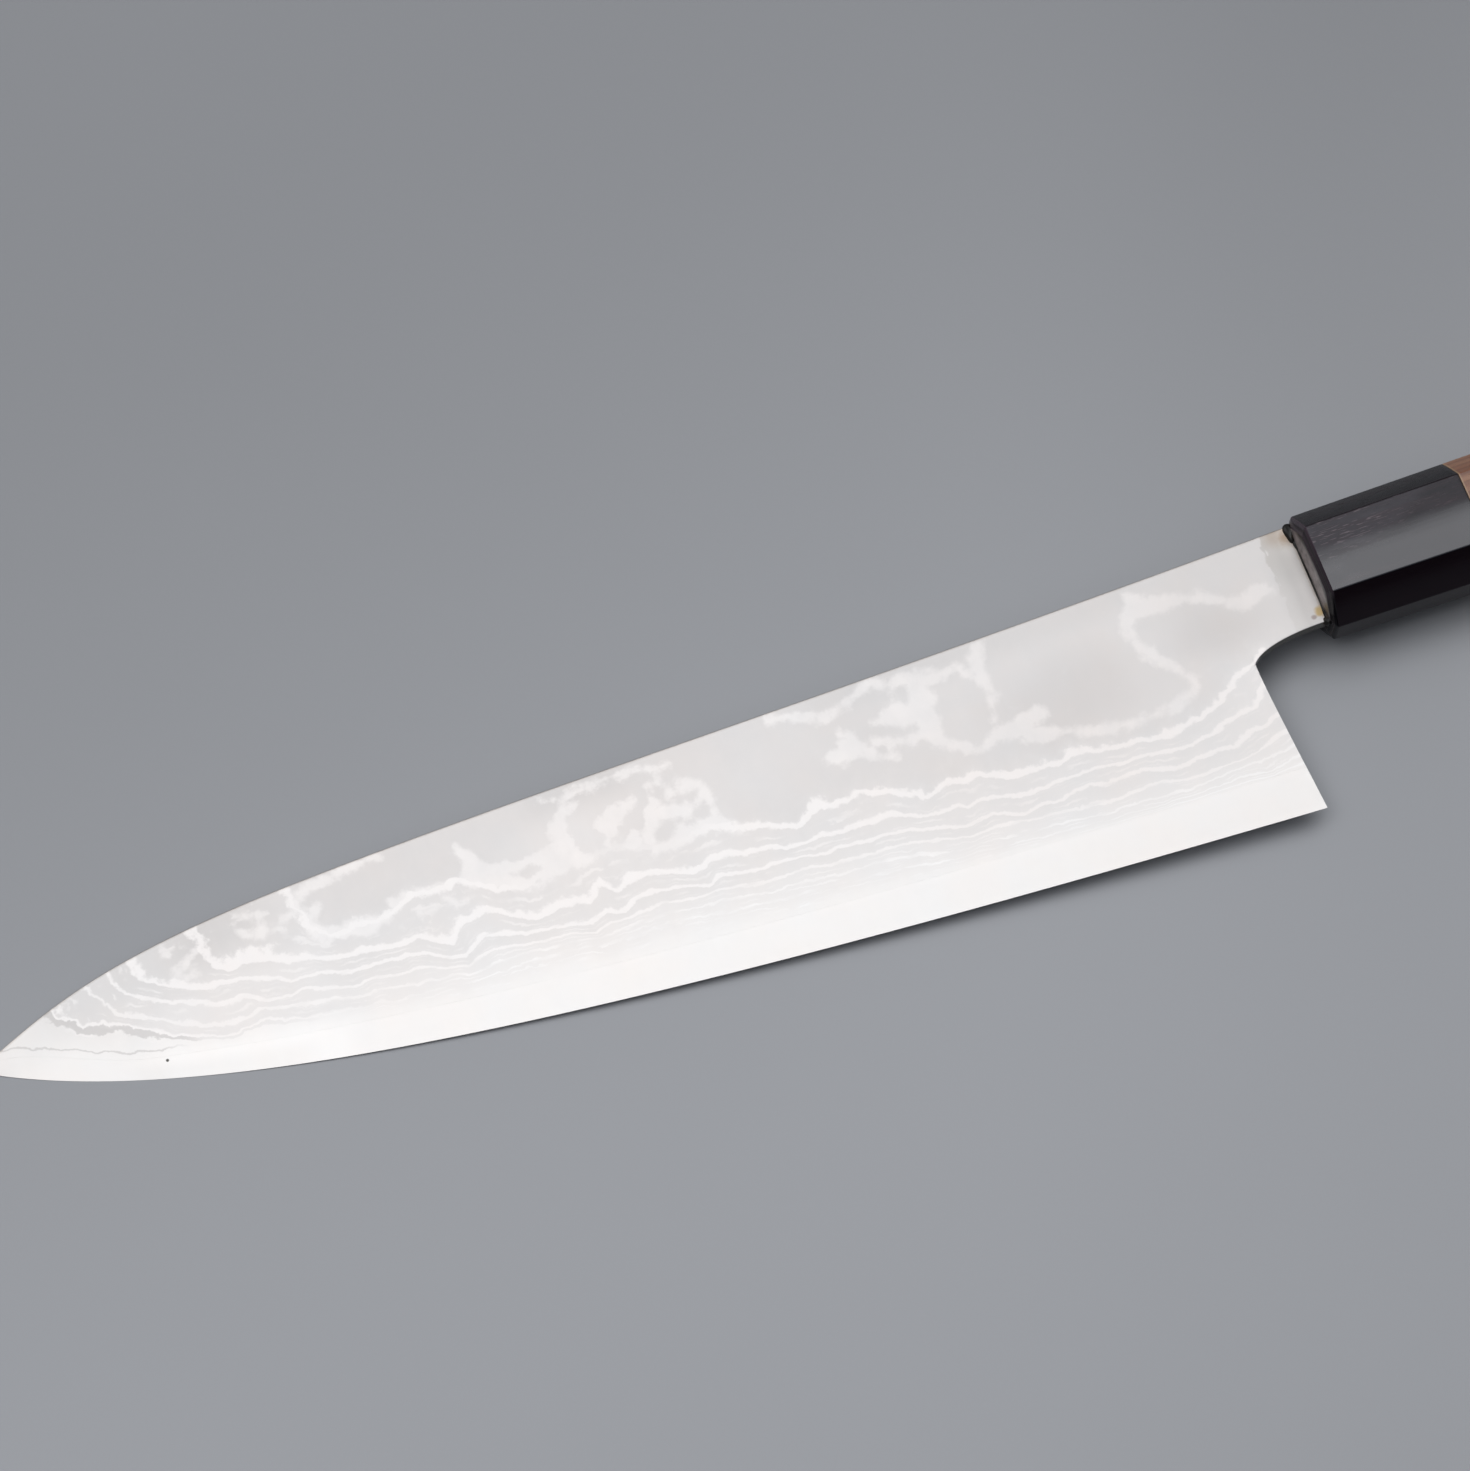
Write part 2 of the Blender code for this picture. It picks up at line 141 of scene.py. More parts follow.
class Graph:
    """A node tree, with the few calls that everything in it is written in."""

    def __init__(self, tree: bpy.types.NodeTree) -> None:
        """Keeps the tree."""
        self.tree = tree

    def node(self, kind: str, output: Union[int, str], settings: Optional[Mapping[str, Any]] = None,
             inputs: Optional[Mapping[Union[int, str], Source]] = None) -> Value:
        """Adds a node.

        Args:
            kind: the node's type.
            output: the output that is wanted, by its name or place.
            settings: the node's own properties, which are set first.
            inputs: a value or a link for each input, by its name or place.

        Returns:
            The output.
        """
        made = self.tree.nodes.new(kind)
        for name, value in (settings or {}).items():
            setattr(made, name, value)
        for key, source in (inputs or {}).items():
            self.feed(made.inputs[key], source)
        return Value(self, made.outputs[output])

    def feed(self, socket: bpy.types.NodeSocket, source: Source) -> None:
        """Links a value to a socket, or sets the socket.

        Args:
            socket: the input.
            source: a value, a number or a tuple.
        """
        if isinstance(source, Value):
            self.tree.links.new(source.socket, socket)
        elif socket.type == "RGBA":
            socket.default_value = (*source[:3], 1.0)
        else:
            socket.default_value = source

    def maths(self, operation: str, *values: Source) -> Value:
        """Adds a Math node and returns its result."""
        return self.node("ShaderNodeMath", 0, {"operation": operation}, dict(enumerate(values)))

    def vector(self, operation: str, *values: Source) -> Value:
        """Adds a Vector Math node and returns its vector, or the number that LENGTH and DOT_PRODUCT give."""
        output = "Value" if operation in ("LENGTH", "DOT_PRODUCT") else "Vector"
        return self.node("ShaderNodeVectorMath", output, {"operation": operation}, dict(enumerate(values)))

    def tint(self, colour: Source, level: Source) -> Value:
        """Darkens or lightens a colour by a number."""
        inputs = {0: colour, "Scale": level}
        return self.node("ShaderNodeVectorMath", "Vector", {"operation": "SCALE"}, inputs)

    def join(self, x: Source, y: Source, z: Source = 0.0) -> Value:
        """Makes a vector from three numbers."""
        return self.node("ShaderNodeCombineXYZ", 0, None, {0: x, 1: y, 2: z})

    def ease(self, value: Source, start: Source, end: Source, low: float = 0.0, high: float = 1.0) -> Value:
        """Passes smoothly from a low level to a high one as a value goes from its start to its end."""
        inputs = {"Value": value, "From Min": start, "From Max": end, "To Min": low, "To Max": high}
        return self.node("ShaderNodeMapRange", 0, {"interpolation_type": "SMOOTHSTEP"}, inputs)

    def window(self, value: Source, window: Window) -> Value:
        """Rises from 0 to 1 between a window's first two places and falls between its last two."""
        return self.ease(value, window[0], window[1]) * self.ease(value, window[3], window[2])

    def mix(self, factor: Source, first: Source, second: Source) -> Value:
        """Mixes two colours."""
        settings = {"data_type": "RGBA", "clamp_factor": True}
        return self.node("ShaderNodeMix", 2, settings, {0: factor, 6: first, 7: second})

    def paint(self, base: Source, *coats: tuple[Source, Source]) -> Source:
        """Lays colours over a base one after another, each through its own mask.

        Args:
            base: the first colour.
            coats: a mask and a colour for each coat.

        Returns:
            The last colour.
        """
        for mask, colour in coats:
            base = self.mix(mask, base, colour)
        return base


class Surface(Graph):
    """One material, laid out in the knife's axes in millimetres."""

    def __init__(self, name: str, frame: Matrix) -> None:
        """Makes an empty material.

        Args:
            name: the material's name.
            frame: the matrix of the axes in which the finish is laid out.
        """
        self.material = bpy.data.materials.new(name)
        self.material.use_nodes = True
        super().__init__(self.material.node_tree)
        self.axes = [tuple(frame.col[i][:3]) for i in range(3)]
        away = self.vector("SUBTRACT", self.node("ShaderNodeTexCoord", "Object"), tuple(frame.translation))
        self.x, self.y, self.z = (self.vector("DOT_PRODUCT", away, axis) * (1.0 / MM) for axis in self.axes)
        self.place = self.join(self.x, self.y, self.z)

    def facing(self, axis: int) -> Value:
        """How far the surface faces along x, y or z, numbered from 0, between -1 and 1."""
        return self.vector("DOT_PRODUCT", self.node("ShaderNodeTexCoord", "Normal"), self.axes[axis])

    def noise(self, place: Source, size: float, detail: float = 2.0, rough: float = 0.5) -> Value:
        """Soft noise from about -1 to 1, with features of a size in millimetres and finer ones in them."""
        inputs = {"Vector": place, "Scale": 1.0 / size, "Detail": detail, "Roughness": rough}
        return (self.node("ShaderNodeTexNoise", 0, None, inputs) - 0.5) * 2.0

    def grain(self, stretch: Triple, size: float, detail: float = 2.0, rough: float = 0.5,
              shift: float = 0.0) -> Value:
        """Noise that is long where an axis has a small scale; another shift makes it another grain."""
        moved = self.vector("ADD", self.place, (shift, shift, shift))
        return self.noise(self.vector("MULTIPLY", moved, stretch), size, detail, rough)

    def pores(self, shift: float, start: float, end: float) -> Value:
        """Short fine pores along the handle, as a mask."""
        return self.ease(self.grain((0.10, 1.0, 1.0), 0.20, 1.0, shift=shift), start, end)

    def dot(self, x: float, y: float, radius: float, soft: float = 0.4, uneven: Source = 0.0) -> Value:
        """A round mark in millimetres, 1 inside, that fades over a share of its radius."""
        gap = self.vector("LENGTH", self.join(self.x - x, self.y - y)) - uneven
        return self.ease(gap, radius, radius * (1.0 - soft))

    def oval(self, x: float, y: float, long: float, wide: float) -> Value:
        """A soft oval in millimetres, 1 in its middle, with its reach along the knife and across it."""
        return self.ease(self.vector("LENGTH", self.join((self.x - x) / long, (self.y - y) / wide)), 1.1, 0.1)

    def bump(self, height: Source, depth: float, strength: float = 1.0) -> Value:
        """A fine relief: its height from 0 to 1, its depth in metres and its strength."""
        inputs = {"Strength": strength, "Distance": depth, "Height": height}
        return self.node("ShaderNodeBump", 0, None, inputs)

    def finish(self, **sockets: Source) -> bpy.types.Material:
        """Feeds the shader's sockets, named with underscores, and returns the material.

        Args:
            sockets: what feeds each socket.

        Returns:
            The material.
        """
        shader = self.tree.nodes["Principled BSDF"]
        for name, source in sockets.items():
            self.feed(shader.inputs[name.replace("_", " ").title().replace("Ior", "IOR")], source)
        return self.material


@dataclass(frozen=True)
class BladeForm:
    """The blade's outline, grind and layers. Sizes in metres, angles in degrees."""

    edge_length: float = 0.240
    heel_setback: float = 0.0129
    heel_drop: float = 0.0416
    tip_drop: float = 0.0072
    edge_tip_angle: float = -30.0
    edge_tip_pull: float = 0.038
    edge_heel_angle: float = -2.75
    edge_heel_pull: float = 0.143
    spine_tip_angle: float = 24.0
    spine_tip_pull: float = 0.016
    point_length: float = 0.063
    point_spine_height: float = 0.00685
    point_spine_angle: float = 2.8
    point_spine_pull: float = 0.038
    neck_spine_height: float = 0.0105
    neck_spine_angle: float = 1.65
    back_spine_pull: float = 0.044
    neck_spine_pull: float = 0.095
    heel_rake: float = 0.0024
    choil_drop: float = 0.0133
    choil_rise_pull: float = 0.0018
    neck_underside_drop: float = 0.0091
    neck_underside_pull: float = 0.0110
    neck_thickness: float = 0.0028
    tip_thickness: float = 0.0005
    distal_power: float = 1.6
    grind_power: float = 1.6
    edge_flat: float = 0.00004
    neck_grind_start: float = 0.0220
    neck_grind_end: float = 0.0060
    neck_grind_depth: float = 0.35
    neck_grind_fade: float = 0.40
    core_share: float = 0.23
    tip_core_length: float = 0.030
    weld: float = 0.000006
    feather: float = 0.000012
    tang_length: float = 0.095
    tang_height: float = 0.0086
    tang_end_height: float = 0.0056
    tang_end_thickness: float = 0.0018
    neck_end: float = 0.0003
    edge_round: float = 0.00022
    edge_steps: int = 600
    spine_steps: int = 300

    def __post_init__(self) -> None:
        """Draws the edge and the spine."""
        heel = np.array((-self.heel_setback, -self.heel_drop))
        tip = np.array((self.tip_x, -self.tip_drop))
        edge = bezier(tip, tip + self.edge_tip_pull * heading(self.edge_tip_angle),
                      heel - self.edge_heel_pull * heading(self.edge_heel_angle), heel, self.edge_steps)
        knee = np.array((self.tip_x + self.point_length, self.point_spine_height))
        neck = np.array((0.0, self.neck_spine_height))
        along = heading(self.point_spine_angle)
        point = bezier(tip, tip + self.spine_tip_pull * heading(self.spine_tip_angle),
                       knee - self.point_spine_pull * along, knee, self.spine_steps)
        back = bezier(knee, knee + self.back_spine_pull * along,
                      neck - self.neck_spine_pull * heading(self.neck_spine_angle), neck, self.spine_steps)
        object.__setattr__(self, "edge", edge)
        object.__setattr__(self, "spine", np.vstack((point, back[1:])))

    @property
    def tip_x(self) -> float:
        """Where the point is along the knife."""
        return -(self.edge_length + self.heel_setback)

    @property
    def heel_x(self) -> float:
        """Where the heel's corner is along the knife."""
        return -self.heel_setback

    def edge_y(self, x: np.ndarray) -> np.ndarray:
        """Height of the edge."""
        return np.interp(x, self.edge[:, 0], self.edge[:, 1])

    def spine_y(self, x: np.ndarray) -> np.ndarray:
        """Height of the spine."""
        return np.interp(x, self.spine[:, 0], self.spine[:, 1])

    def spine_half(self, x: np.ndarray) -> np.ndarray:
        """Half the steel's thickness at the spine, or along the tang.

        Args:
            x: places along the knife.

        Returns:
            Half the thickness at each.
        """
        share = 1.0 - np.clip(x / self.tip_x, 0.0, 1.0) ** self.distal_power
        blade = self.tip_thickness + (self.neck_thickness - self.tip_thickness) * share
        tang = self.neck_thickness + (self.tang_end_thickness - self.neck_thickness) * x / self.tang_length
        return np.where(x > 0.0, tang, blade) / 2

    def half_thickness(self, x: np.ndarray, y: np.ndarray) -> np.ndarray:
        """Half the blade's thickness: a convex grind that fades out at the neck.

        Args:
            x: places along the knife.
            y: their heights.

        Returns:
            Half the thickness at each.
        """
        top = self.spine_y(x)
        depth = np.clip((top - y) / (top - self.edge_y(x)), 0.0, 1.0)
        ground = 1.0 - depth ** self.grind_power
        along = smooth((x + self.neck_grind_start) / (self.neck_grind_start - self.neck_grind_end))
        across = 1.0 - smooth((depth - self.neck_grind_depth) / self.neck_grind_fade)
        full = np.where(x > self.neck_end + 1e-6, 1.0, along * across)
        return np.maximum(self.spine_half(x) * (ground + (1.0 - ground) * full), self.edge_flat / 2)

    def core_part(self, x: np.ndarray) -> np.ndarray:
        """The core's share of the thickness, which grows to all of it at the tip."""
        left = np.clip(1.0 - (x - self.tip_x) / self.tip_core_length, 0.0, 1.0)
        return self.core_share + (1.0 - self.core_share) * left ** 2

    def core_depth(self, x: np.ndarray, spare: float = 0.0) -> np.ndarray:
        """The share of the height, from spine to edge, at which the core comes to the surface."""
        room = 1.0 - self.core_part(x) - spare / self.spine_half(x)
        return np.clip(room, 0.0, 1.0) ** (1.0 / self.grind_power)

    def core_line(self, x: np.ndarray) -> np.ndarray:
        """Height of the line where the core comes to the surface."""
        top = self.spine_y(x)
        return top - self.core_depth(x) * (top - self.edge_y(x))

    def tang_half(self, x: float) -> float:
        """Half the tang's height."""
        return (self.tang_height + (self.tang_end_height - self.tang_height) * x / self.tang_length) / 2


def heading(angle: float) -> np.ndarray:
    """The unit vector at an angle from the handle's axis, in degrees."""
    return np.array((math.cos(math.radians(angle)), math.sin(math.radians(angle))))


def bezier(start: np.ndarray, first: np.ndarray, second: np.ndarray, end: np.ndarray,
           steps: int) -> np.ndarray:
    """Points along a cubic curve."""
    t = np.linspace(0.0, 1.0, steps)[:, None]
    return (1 - t) ** 3 * start + 3 * (1 - t) ** 2 * t * first + 3 * (1 - t) * t ** 2 * second + t ** 3 * end


def moved(steps: Sequence[Span], x: float, inset: float = 0.0) -> list[Span]:
    """Moves a row of places and insets."""
    return [(x + step, inset + draw) for step, draw in steps]


def smooth(value: np.ndarray) -> np.ndarray:
    """Eases numbers from 0 to 1."""
    value = np.clip(value, 0.0, 1.0)
    return value * value * (3.0 - 2.0 * value)


def add_object(name: str, data: Any) -> bpy.types.Object:
    """Puts a mesh, a lamp or a camera in the scene.

    Args:
        name: the object's name.
        data: what it shows.

    Returns:
        The object.
    """
    thing = bpy.data.objects.new(name, data)
    bpy.context.scene.collection.objects.link(thing)
    return thing


def skin(name: str, rings: Sequence[Ring], place: Matrix, closed: bool = False,
         sharp: float = 30.0) -> bpy.types.Object:
    """Joins rings of points into one closed body.

    Args:
        name: the object's name.
        rings: rings with the same number of points.
        place: the matrix that takes the points to the world.
        closed: True joins the last ring to the first; otherwise both ends get a cap.
        sharp: the angle above which an edge stays sharp, in degrees.

    Returns:
        The object.
    """
    bm = bmesh.new()
    rows = [[bm.verts.new(p) for p in ring] for ring in rings]
    count = len(rows[0])
    pairs = list(zip(rows, rows[1:]))
    if closed:
        pairs.append((rows[-1], rows[0]))
    else:
        bm.faces.new(rows[0])
        bm.faces.new(rows[-1])
    for first, second in pairs:
        for i in range(count):
            j = (i + 1) % count
            bm.faces.new((first[i], first[j], second[j], second[i]))
    bmesh.ops.remove_doubles(bm, verts=bm.verts, dist=1e-7)
    bmesh.ops.recalc_face_normals(bm, faces=bm.faces)
    bm.transform(place)
    mesh = bpy.data.meshes.new(name)
    bm.to_mesh(mesh)
    bm.free()
    mesh.shade_smooth()
    mesh.set_sharp_from_angle(angle=math.radians(sharp))
    return add_object(name, mesh)


def join_meshes(thing: bpy.types.Object, extra: bpy.types.Object) -> None:
    """Adds one object's mesh to another's in the same place, and removes the first.

    Args:
        thing: the object that gets the mesh.
        extra: the object that gives it.
    """
    bm = bmesh.new()
    bm.from_mesh(thing.data)
    bm.from_mesh(extra.data)
    bm.to_mesh(thing.data)
    bm.free()
    mesh = extra.data
    bpy.data.objects.remove(extra)
    bpy.data.meshes.remove(mesh)


@dataclass(frozen=True)
class LayerLine:
    """A pale layer where it comes to the surface, from the heel to the tip. Points in millimetres."""

    level: float
    points: Points


@dataclass(frozen=True)
class PaleMark:
    """A pale patch where hammering brought a layer up: points with the patch's half width, in millimetres."""

    points: Points


LAYER_LINES = (
    LayerLine(7.0, ((-13, -10.8), (-16, -12.3), (-20, -14.3), (-24, -17), (-28, -18.5), (-31, -18.8),
        (-34, -20), (-37, -19.7), (-39, -18.9), (-45, -18.6), (-49, -17.6), (-52, -17), (-54, -17.8),
        (-57, -17.7), (-60, -17), (-63, -17.8), (-66, -16.5), (-69, -15.3), (-72, -15.4), (-75, -14.6),
        (-80, -15.6), (-85, -13), (-90, -10.9), (-93, -11.6), (-96, -11.4), (-98, -10.7), (-101, -12.2),
        (-103, -13), (-106, -12), (-108, -11.3), (-112, -10.3), (-115, -9), (-117, -7.8), (-122, -8.5),
        (-128, -9), (-132, -6.5), (-138, -6), (-142, -6.5), (-147, -6.5), (-152, -7.3), (-157, -6.5),
        (-160, -4), (-163, -2.6), (-168, -2.3), (-172, -2), (-174, -3), (-177, -4.8), (-182, -4.3),
        (-187, -4.5), (-189.5, -2.5), (-190.3, -0.5), (-191, 1.5), (-191.6, 4), (-192.5, 22))),
    LayerLine(6.0, ((-13, -14), (-15, -16.5), (-16.5, -18), (-18, -19.8), (-20, -19.5), (-22, -20),
        (-26, -21.3), (-31, -23), (-35, -22.3), (-40, -21.7), (-44, -21.8), (-48, -21), (-52, -21.2),
        (-57, -20.9), (-62, -21.4), (-65, -20.8), (-67, -20), (-70, -19.2), (-73, -20.3), (-75, -19.2),
        (-78, -19.7), (-82, -19), (-85, -17.3), (-87, -16.7), (-90, -17.2), (-95, -16.8), (-99, -16.3),
        (-103, -16.8), (-106, -16.7), (-109, -15.5), (-113, -14.9), (-117, -14), (-120, -14), (-123, -15.3),
        (-126, -14), (-130, -12.8), (-134, -12.4), (-137, -13.6), (-139.5, -11), (-142, -13.8),
        (-145, -12.6), (-148, -13), (-152, -13.9), (-155, -11.8), (-158, -10.2), (-160, -8.8),
        (-163, -10.2), (-165, -10), (-167.5, -13.2), (-170, -12), (-173, -9.5), (-175, -10.4),
        (-178, -10.2), (-181, -9.2), (-188, -9), (-191, -7.6), (-195, -6.5), (-197, -5.8), (-199, -4.4),
        (-203, -3.9), (-206, -4.7), (-207.7, -3), (-209, -0.5), (-209.6, 2), (-210, 3.5), (-211, 20))),
    LayerLine(5.0, ((-13, -22), (-15, -22.8), (-17, -23.7), (-20, -23.5), (-22, -24.8), (-24, -25.7),
        (-27, -25), (-30, -25.3), (-36, -25.8), (-39, -24.8), (-42, -24), (-48, -24.4), (-51, -23.3),
        (-54, -23.6), (-57, -24.6), (-61, -24), (-64, -25), (-67, -23.8), (-70, -22.7), (-75, -23.3),
        (-80, -21.7), (-84, -20.8), (-88, -20), (-92, -20), (-95, -19.5), (-99, -19.7), (-103, -19),
        (-107, -18.2), (-111, -18.7), (-115, -18), (-119, -17.3), (-121.5, -18.6), (-124, -17.4),
        (-127, -16.2), (-131, -16), (-134, -16.4), (-137, -18), (-140, -16.7), (-143, -18.1), (-147, -16.9),
        (-151, -16.2), (-155, -15.7), (-158, -14.5), (-162, -13.6), (-164, -15), (-166, -16.2),
        (-169, -15.2), (-172, -13.3), (-176, -12.4), (-184, -12), (-188, -11.3), (-191, -10.2), (-194, -10),
        (-196.5, -10.1), (-198, -8.8), (-200, -8.3), (-202, -7.6), (-204, -6.6), (-210, -6.2), (-213, -5.2),
        (-215.5, -4), (-218, -2.8), (-220.5, -1.5), (-222, 0.3), (-222.4, 2.5), (-223, 18))),
    LayerLine(4.0, ((-13, -25.5), (-16, -26.2), (-19, -27.3), (-22, -28.2), (-27, -28.3), (-32, -28.8),
        (-36, -28), (-40, -27.1), (-45, -27.1), (-49, -27.8), (-53, -27.1), (-57, -26.7), (-60, -26.3),
        (-64, -25.9), (-67, -25.2), (-72, -25.4), (-77, -25.1), (-80, -24), (-85, -23), (-90, -22.3),
        (-95, -22.3), (-100, -21.8), (-105, -21), (-110, -21.4), (-115, -20.6), (-120, -19.6),
        (-125, -19.8), (-130, -18.6), (-135, -19), (-140, -18.9), (-143, -19.8), (-147, -18.4),
        (-152, -18.2), (-157, -17.3), (-162, -16.4), (-166, -18), (-170, -16.8), (-174, -15.5),
        (-178, -15.5), (-182, -14.3), (-186, -14.9), (-190, -13.6), (-194, -12.2), (-201, -12.3),
        (-203, -11.2), (-205, -9.7), (-208, -9.9), (-211, -9.6), (-213, -8), (-216, -7), (-219, -5.8),
        (-222, -4), (-224.5, -2.4), (-225.6, -0.5), (-226, 1.5), (-226.6, 16))),
    LayerLine(3.0, ((-13, -28), (-16, -29.3), (-20, -29.2), (-25, -29.5), (-30, -29.9), (-35, -30.3),
        (-40, -29.9), (-44, -29.5), (-50, -29.5), (-55, -29), (-60, -28.4), (-65, -27.8), (-70, -27.4),
        (-78, -26.8), (-85, -25.3), (-90, -24.6), (-97, -24.2), (-105, -23.4), (-112, -23.1), (-120, -21.7),
        (-128, -20.9), (-135, -20.7), (-142, -20.8), (-150, -19.8), (-158, -18.8), (-165, -19.5),
        (-170, -18.5), (-176, -18), (-182, -16.8), (-188, -16.4), (-194, -15), (-199, -14), (-203, -12.9),
        (-205, -13.8), (-208, -14.2), (-212, -13), (-215, -11.8), (-218, -10), (-221, -8.3), (-224, -7.2),
        (-226.5, -5.8), (-228.3, -3), (-229.6, -0.8), (-230.2, 1), (-231, 14))),
    LayerLine(2.0, ((-13, -31), (-20, -32), (-26, -31.3), (-33, -31.4), (-40, -31.3), (-50, -30.8),
        (-60, -30.1), (-70, -29), (-80, -28.2), (-90, -26.7), (-100, -25.8), (-110, -25), (-120, -23.7),
        (-130, -22.6), (-140, -22.3), (-150, -21.3), (-158, -20.6), (-165, -21), (-172, -20.2),
        (-180, -19.6), (-188, -18.5), (-195, -17.3), (-200, -16.2), (-204, -15.4), (-208, -15.9),
        (-212, -15), (-215, -14), (-217.5, -13), (-220, -11.2), (-224, -9.4), (-227, -7.3), (-231, -6.3),
        (-234, -4.8), (-236.5, -2.6), (-238.5, -0.8), (-239.5, 13))),
)

PALE_MARKS = (
    PaleMark(((-7, 0, 0.9), (-10, 0.3, 1.2), (-13, -1, 1.5), (-16, 1.2, 1.1), (-19, 2.7, 1.3),
        (-23, 3.8, 1.2), (-27, 3.8, 1.5), (-30, 4.6, 1.5), (-32.5, 4.3, 1.5), (-34, 2.3, 1.5),
        (-34.2, -0.5, 1.1), (-33, -3, 1.1), (-31, -5.5, 1.2), (-29, -7.2, 1.0), (-28, -9.5, 0.9),
        (-26.3, -11.3, 1.0), (-27.3, -13.3, 1.0), (-30, -14.2, 1.0), (-33, -15, 0.95), (-36, -15.3, 0.95),
        (-42, -15, 1.0), (-48, -14.2, 1.0), (-53, -12.3, 1.0), (-58, -11, 1.2))),
    PaleMark(((-31.5, 6, 1.2), (-32.5, 8.5, 0.5))),
    PaleMark(((-55, -8, 1.3), (-58, -9, 2.3), (-61, -9.5, 2.0), (-64, -9.5, 1.3), (-66, -11, 0.7),
        (-68, -11, 0.7), (-70, -9, 0.8), (-72, -7.5, 0.8))),
    PaleMark(((-74, 4.4, 1.8), (-73.5, 2, 2.5), (-76, 0, 2.4), (-80, 0.5, 1.8), (-83.5, 0, 0.7))),
    PaleMark(((-75, -1, 2.0), (-74, -3, 2.2), (-73.5, -6.5, 1.6), (-72, -8, 0.8))),
    PaleMark(((-74, 5, 1.7), (-71, 4.6, 1.4), (-68, 5, 1.2), (-66, 6, 0.8), (-65, 3.5, 0.9),
        (-63, 2, 0.9))),
    PaleMark(((-60.5, 8, 0.8), (-62.5, 5.5, 1.2), (-62.5, 2, 1.2), (-62, -2, 1.0), (-62.5, -5, 0.7),
        (-63.3, -6.8, 0.4))),
    PaleMark(((-94, -3.5, 1.2), (-91, -3.5, 1.9), (-89, -2.5, 2.0), (-88, -1, 0.9), (-90, 0.5, 0.6))),
    PaleMark(((-118, -3, 0.7), (-121, -4.3, 1.1), (-124, -3, 0.9))),
    PaleMark(((-187.6, 1.6, 0.4), (-190.5, -1.2, 0.8), (-188.5, -5.5, 0.3))),
    PaleMark(((-87, -3, 0.6), (-85, -6, 0.9), (-82.5, -6.3, 0.8), (-82, -3.5, 0.9), (-84.5, -3, 1.1),
        (-79, -5, 0.7), (-75, -4, 1.0))),
    PaleMark(((-74, 6, 1.2), (-78, 6, 1.1), (-82, 7.5, 1.3), (-87, 5.5, 0.9), (-91, 4.6, 0.7),
        (-96, 6, 0.6), (-101, 7.4, 0.8))),
    PaleMark(((-113, -10, 0.8), (-116, -8, 1.2), (-116, -4, 1.0), (-116.5, -0.5, 1.0), (-119, 1, 1.2),
        (-122, 0, 1.0), (-123.5, 2.5, 0.8), (-124, 4.5, 0.8))),
    PaleMark(((-117, -7, 1.2), (-121, -7.5, 1.5), (-124, -8.5, 1.8), (-128, -9, 1.0), (-128, -6, 1.5),
        (-127, -3, 1.8), (-126, 0, 1.2), (-125.5, 3, 0.7))),
    PaleMark(((-128, 1, 0.5), (-130, 0, 1.2), (-133, -0.5, 2.0), (-136, -1.5, 1.8), (-134, -3.5, 1.1),
        (-136, -4.5, 0.8), (-135, -6.5, 0.8), (-132, -6.5, 1.0), (-130.5, -5, 0.9))),
    PaleMark(((-139, 4, 1.0), (-142, 3, 1.5), (-143, 0.5, 2.0), (-143.5, -3, 2.2), (-142, -6, 1.4),
        (-139.5, -6.5, 0.7))),
    PaleMark(((-145, 6.8, 0.4), (-140.5, 5.2, 0.7), (-136, 6.2, 0.5), (-132, 6.7, 0.7), (-128, 6.5, 0.5),
        (-124, 5.5, 1.1), (-121, 5.5, 0.5))),
    PaleMark(((-144, -5, 2.0), (-149, -3, 1.1), (-152, -3.3, 1.2), (-156, -2.8, 1.4), (-160, -2, 1.8),
        (-160.5, 1, 0.7), (-161.5, 3.8, 0.3))),
    PaleMark(((-145, -6.2, 1.6), (-150, -7.8, 0.7), (-153, -7, 1.2), (-156, -5, 1.8), (-159, -4, 1.8))),
    PaleMark(((-160, -2.5, 1.4), (-164, -2.2, 0.7), (-168, -2.3, 0.5), (-172, -1.8, 0.6),
        (-174.5, -2.8, 0.6))),
    PaleMark(((-165.8, -4.8, 0.8), (-164.5, -7, 0.6), (-162.5, -6, 0.4))),
    PaleMark(((-171, -6, 0.3), (-166, -6.2, 0.5))),
    PaleMark(((-177, -5.2, 0.8), (-180, -5, 1.2), (-184, -4.4, 1.0), (-187, -4.3, 1.0), (-189, -3, 1.0),
        (-190.3, -0.5, 1.0), (-191.3, 2, 1.3), (-194, 0.8, 0.6))),
    PaleMark(((-191.5, 3, 1.0), (-189, 5, 0.8), (-184, 5.8, 0.8), (-178, 6.4, 1.0), (-175, 6.8, 0.6))),
    PaleMark(((-203, 3.3, 0.5), (-200.5, 4, 0.5), (-198.3, 3, 0.8), (-198.5, 0.5, 1.0), (-200.5, 0, 0.8),
        (-202, 1.5, 0.6))),
    PaleMark(((-216.3, 2.8, 0.6), (-215.3, 1.4, 0.4))),
    PaleMark(((-216, -3.5, 0.4), (-214.5, -2, 0.8), (-212.7, -0.8, 0.9), (-211, 0.6, 0.5))),
    PaleMark(((-214, -3.8, 0.6), (-211.5, -2.2, 0.5))),
    PaleMark(((-204.5, -2.7, 0.6), (-203, -2.2, 0.4))),
)


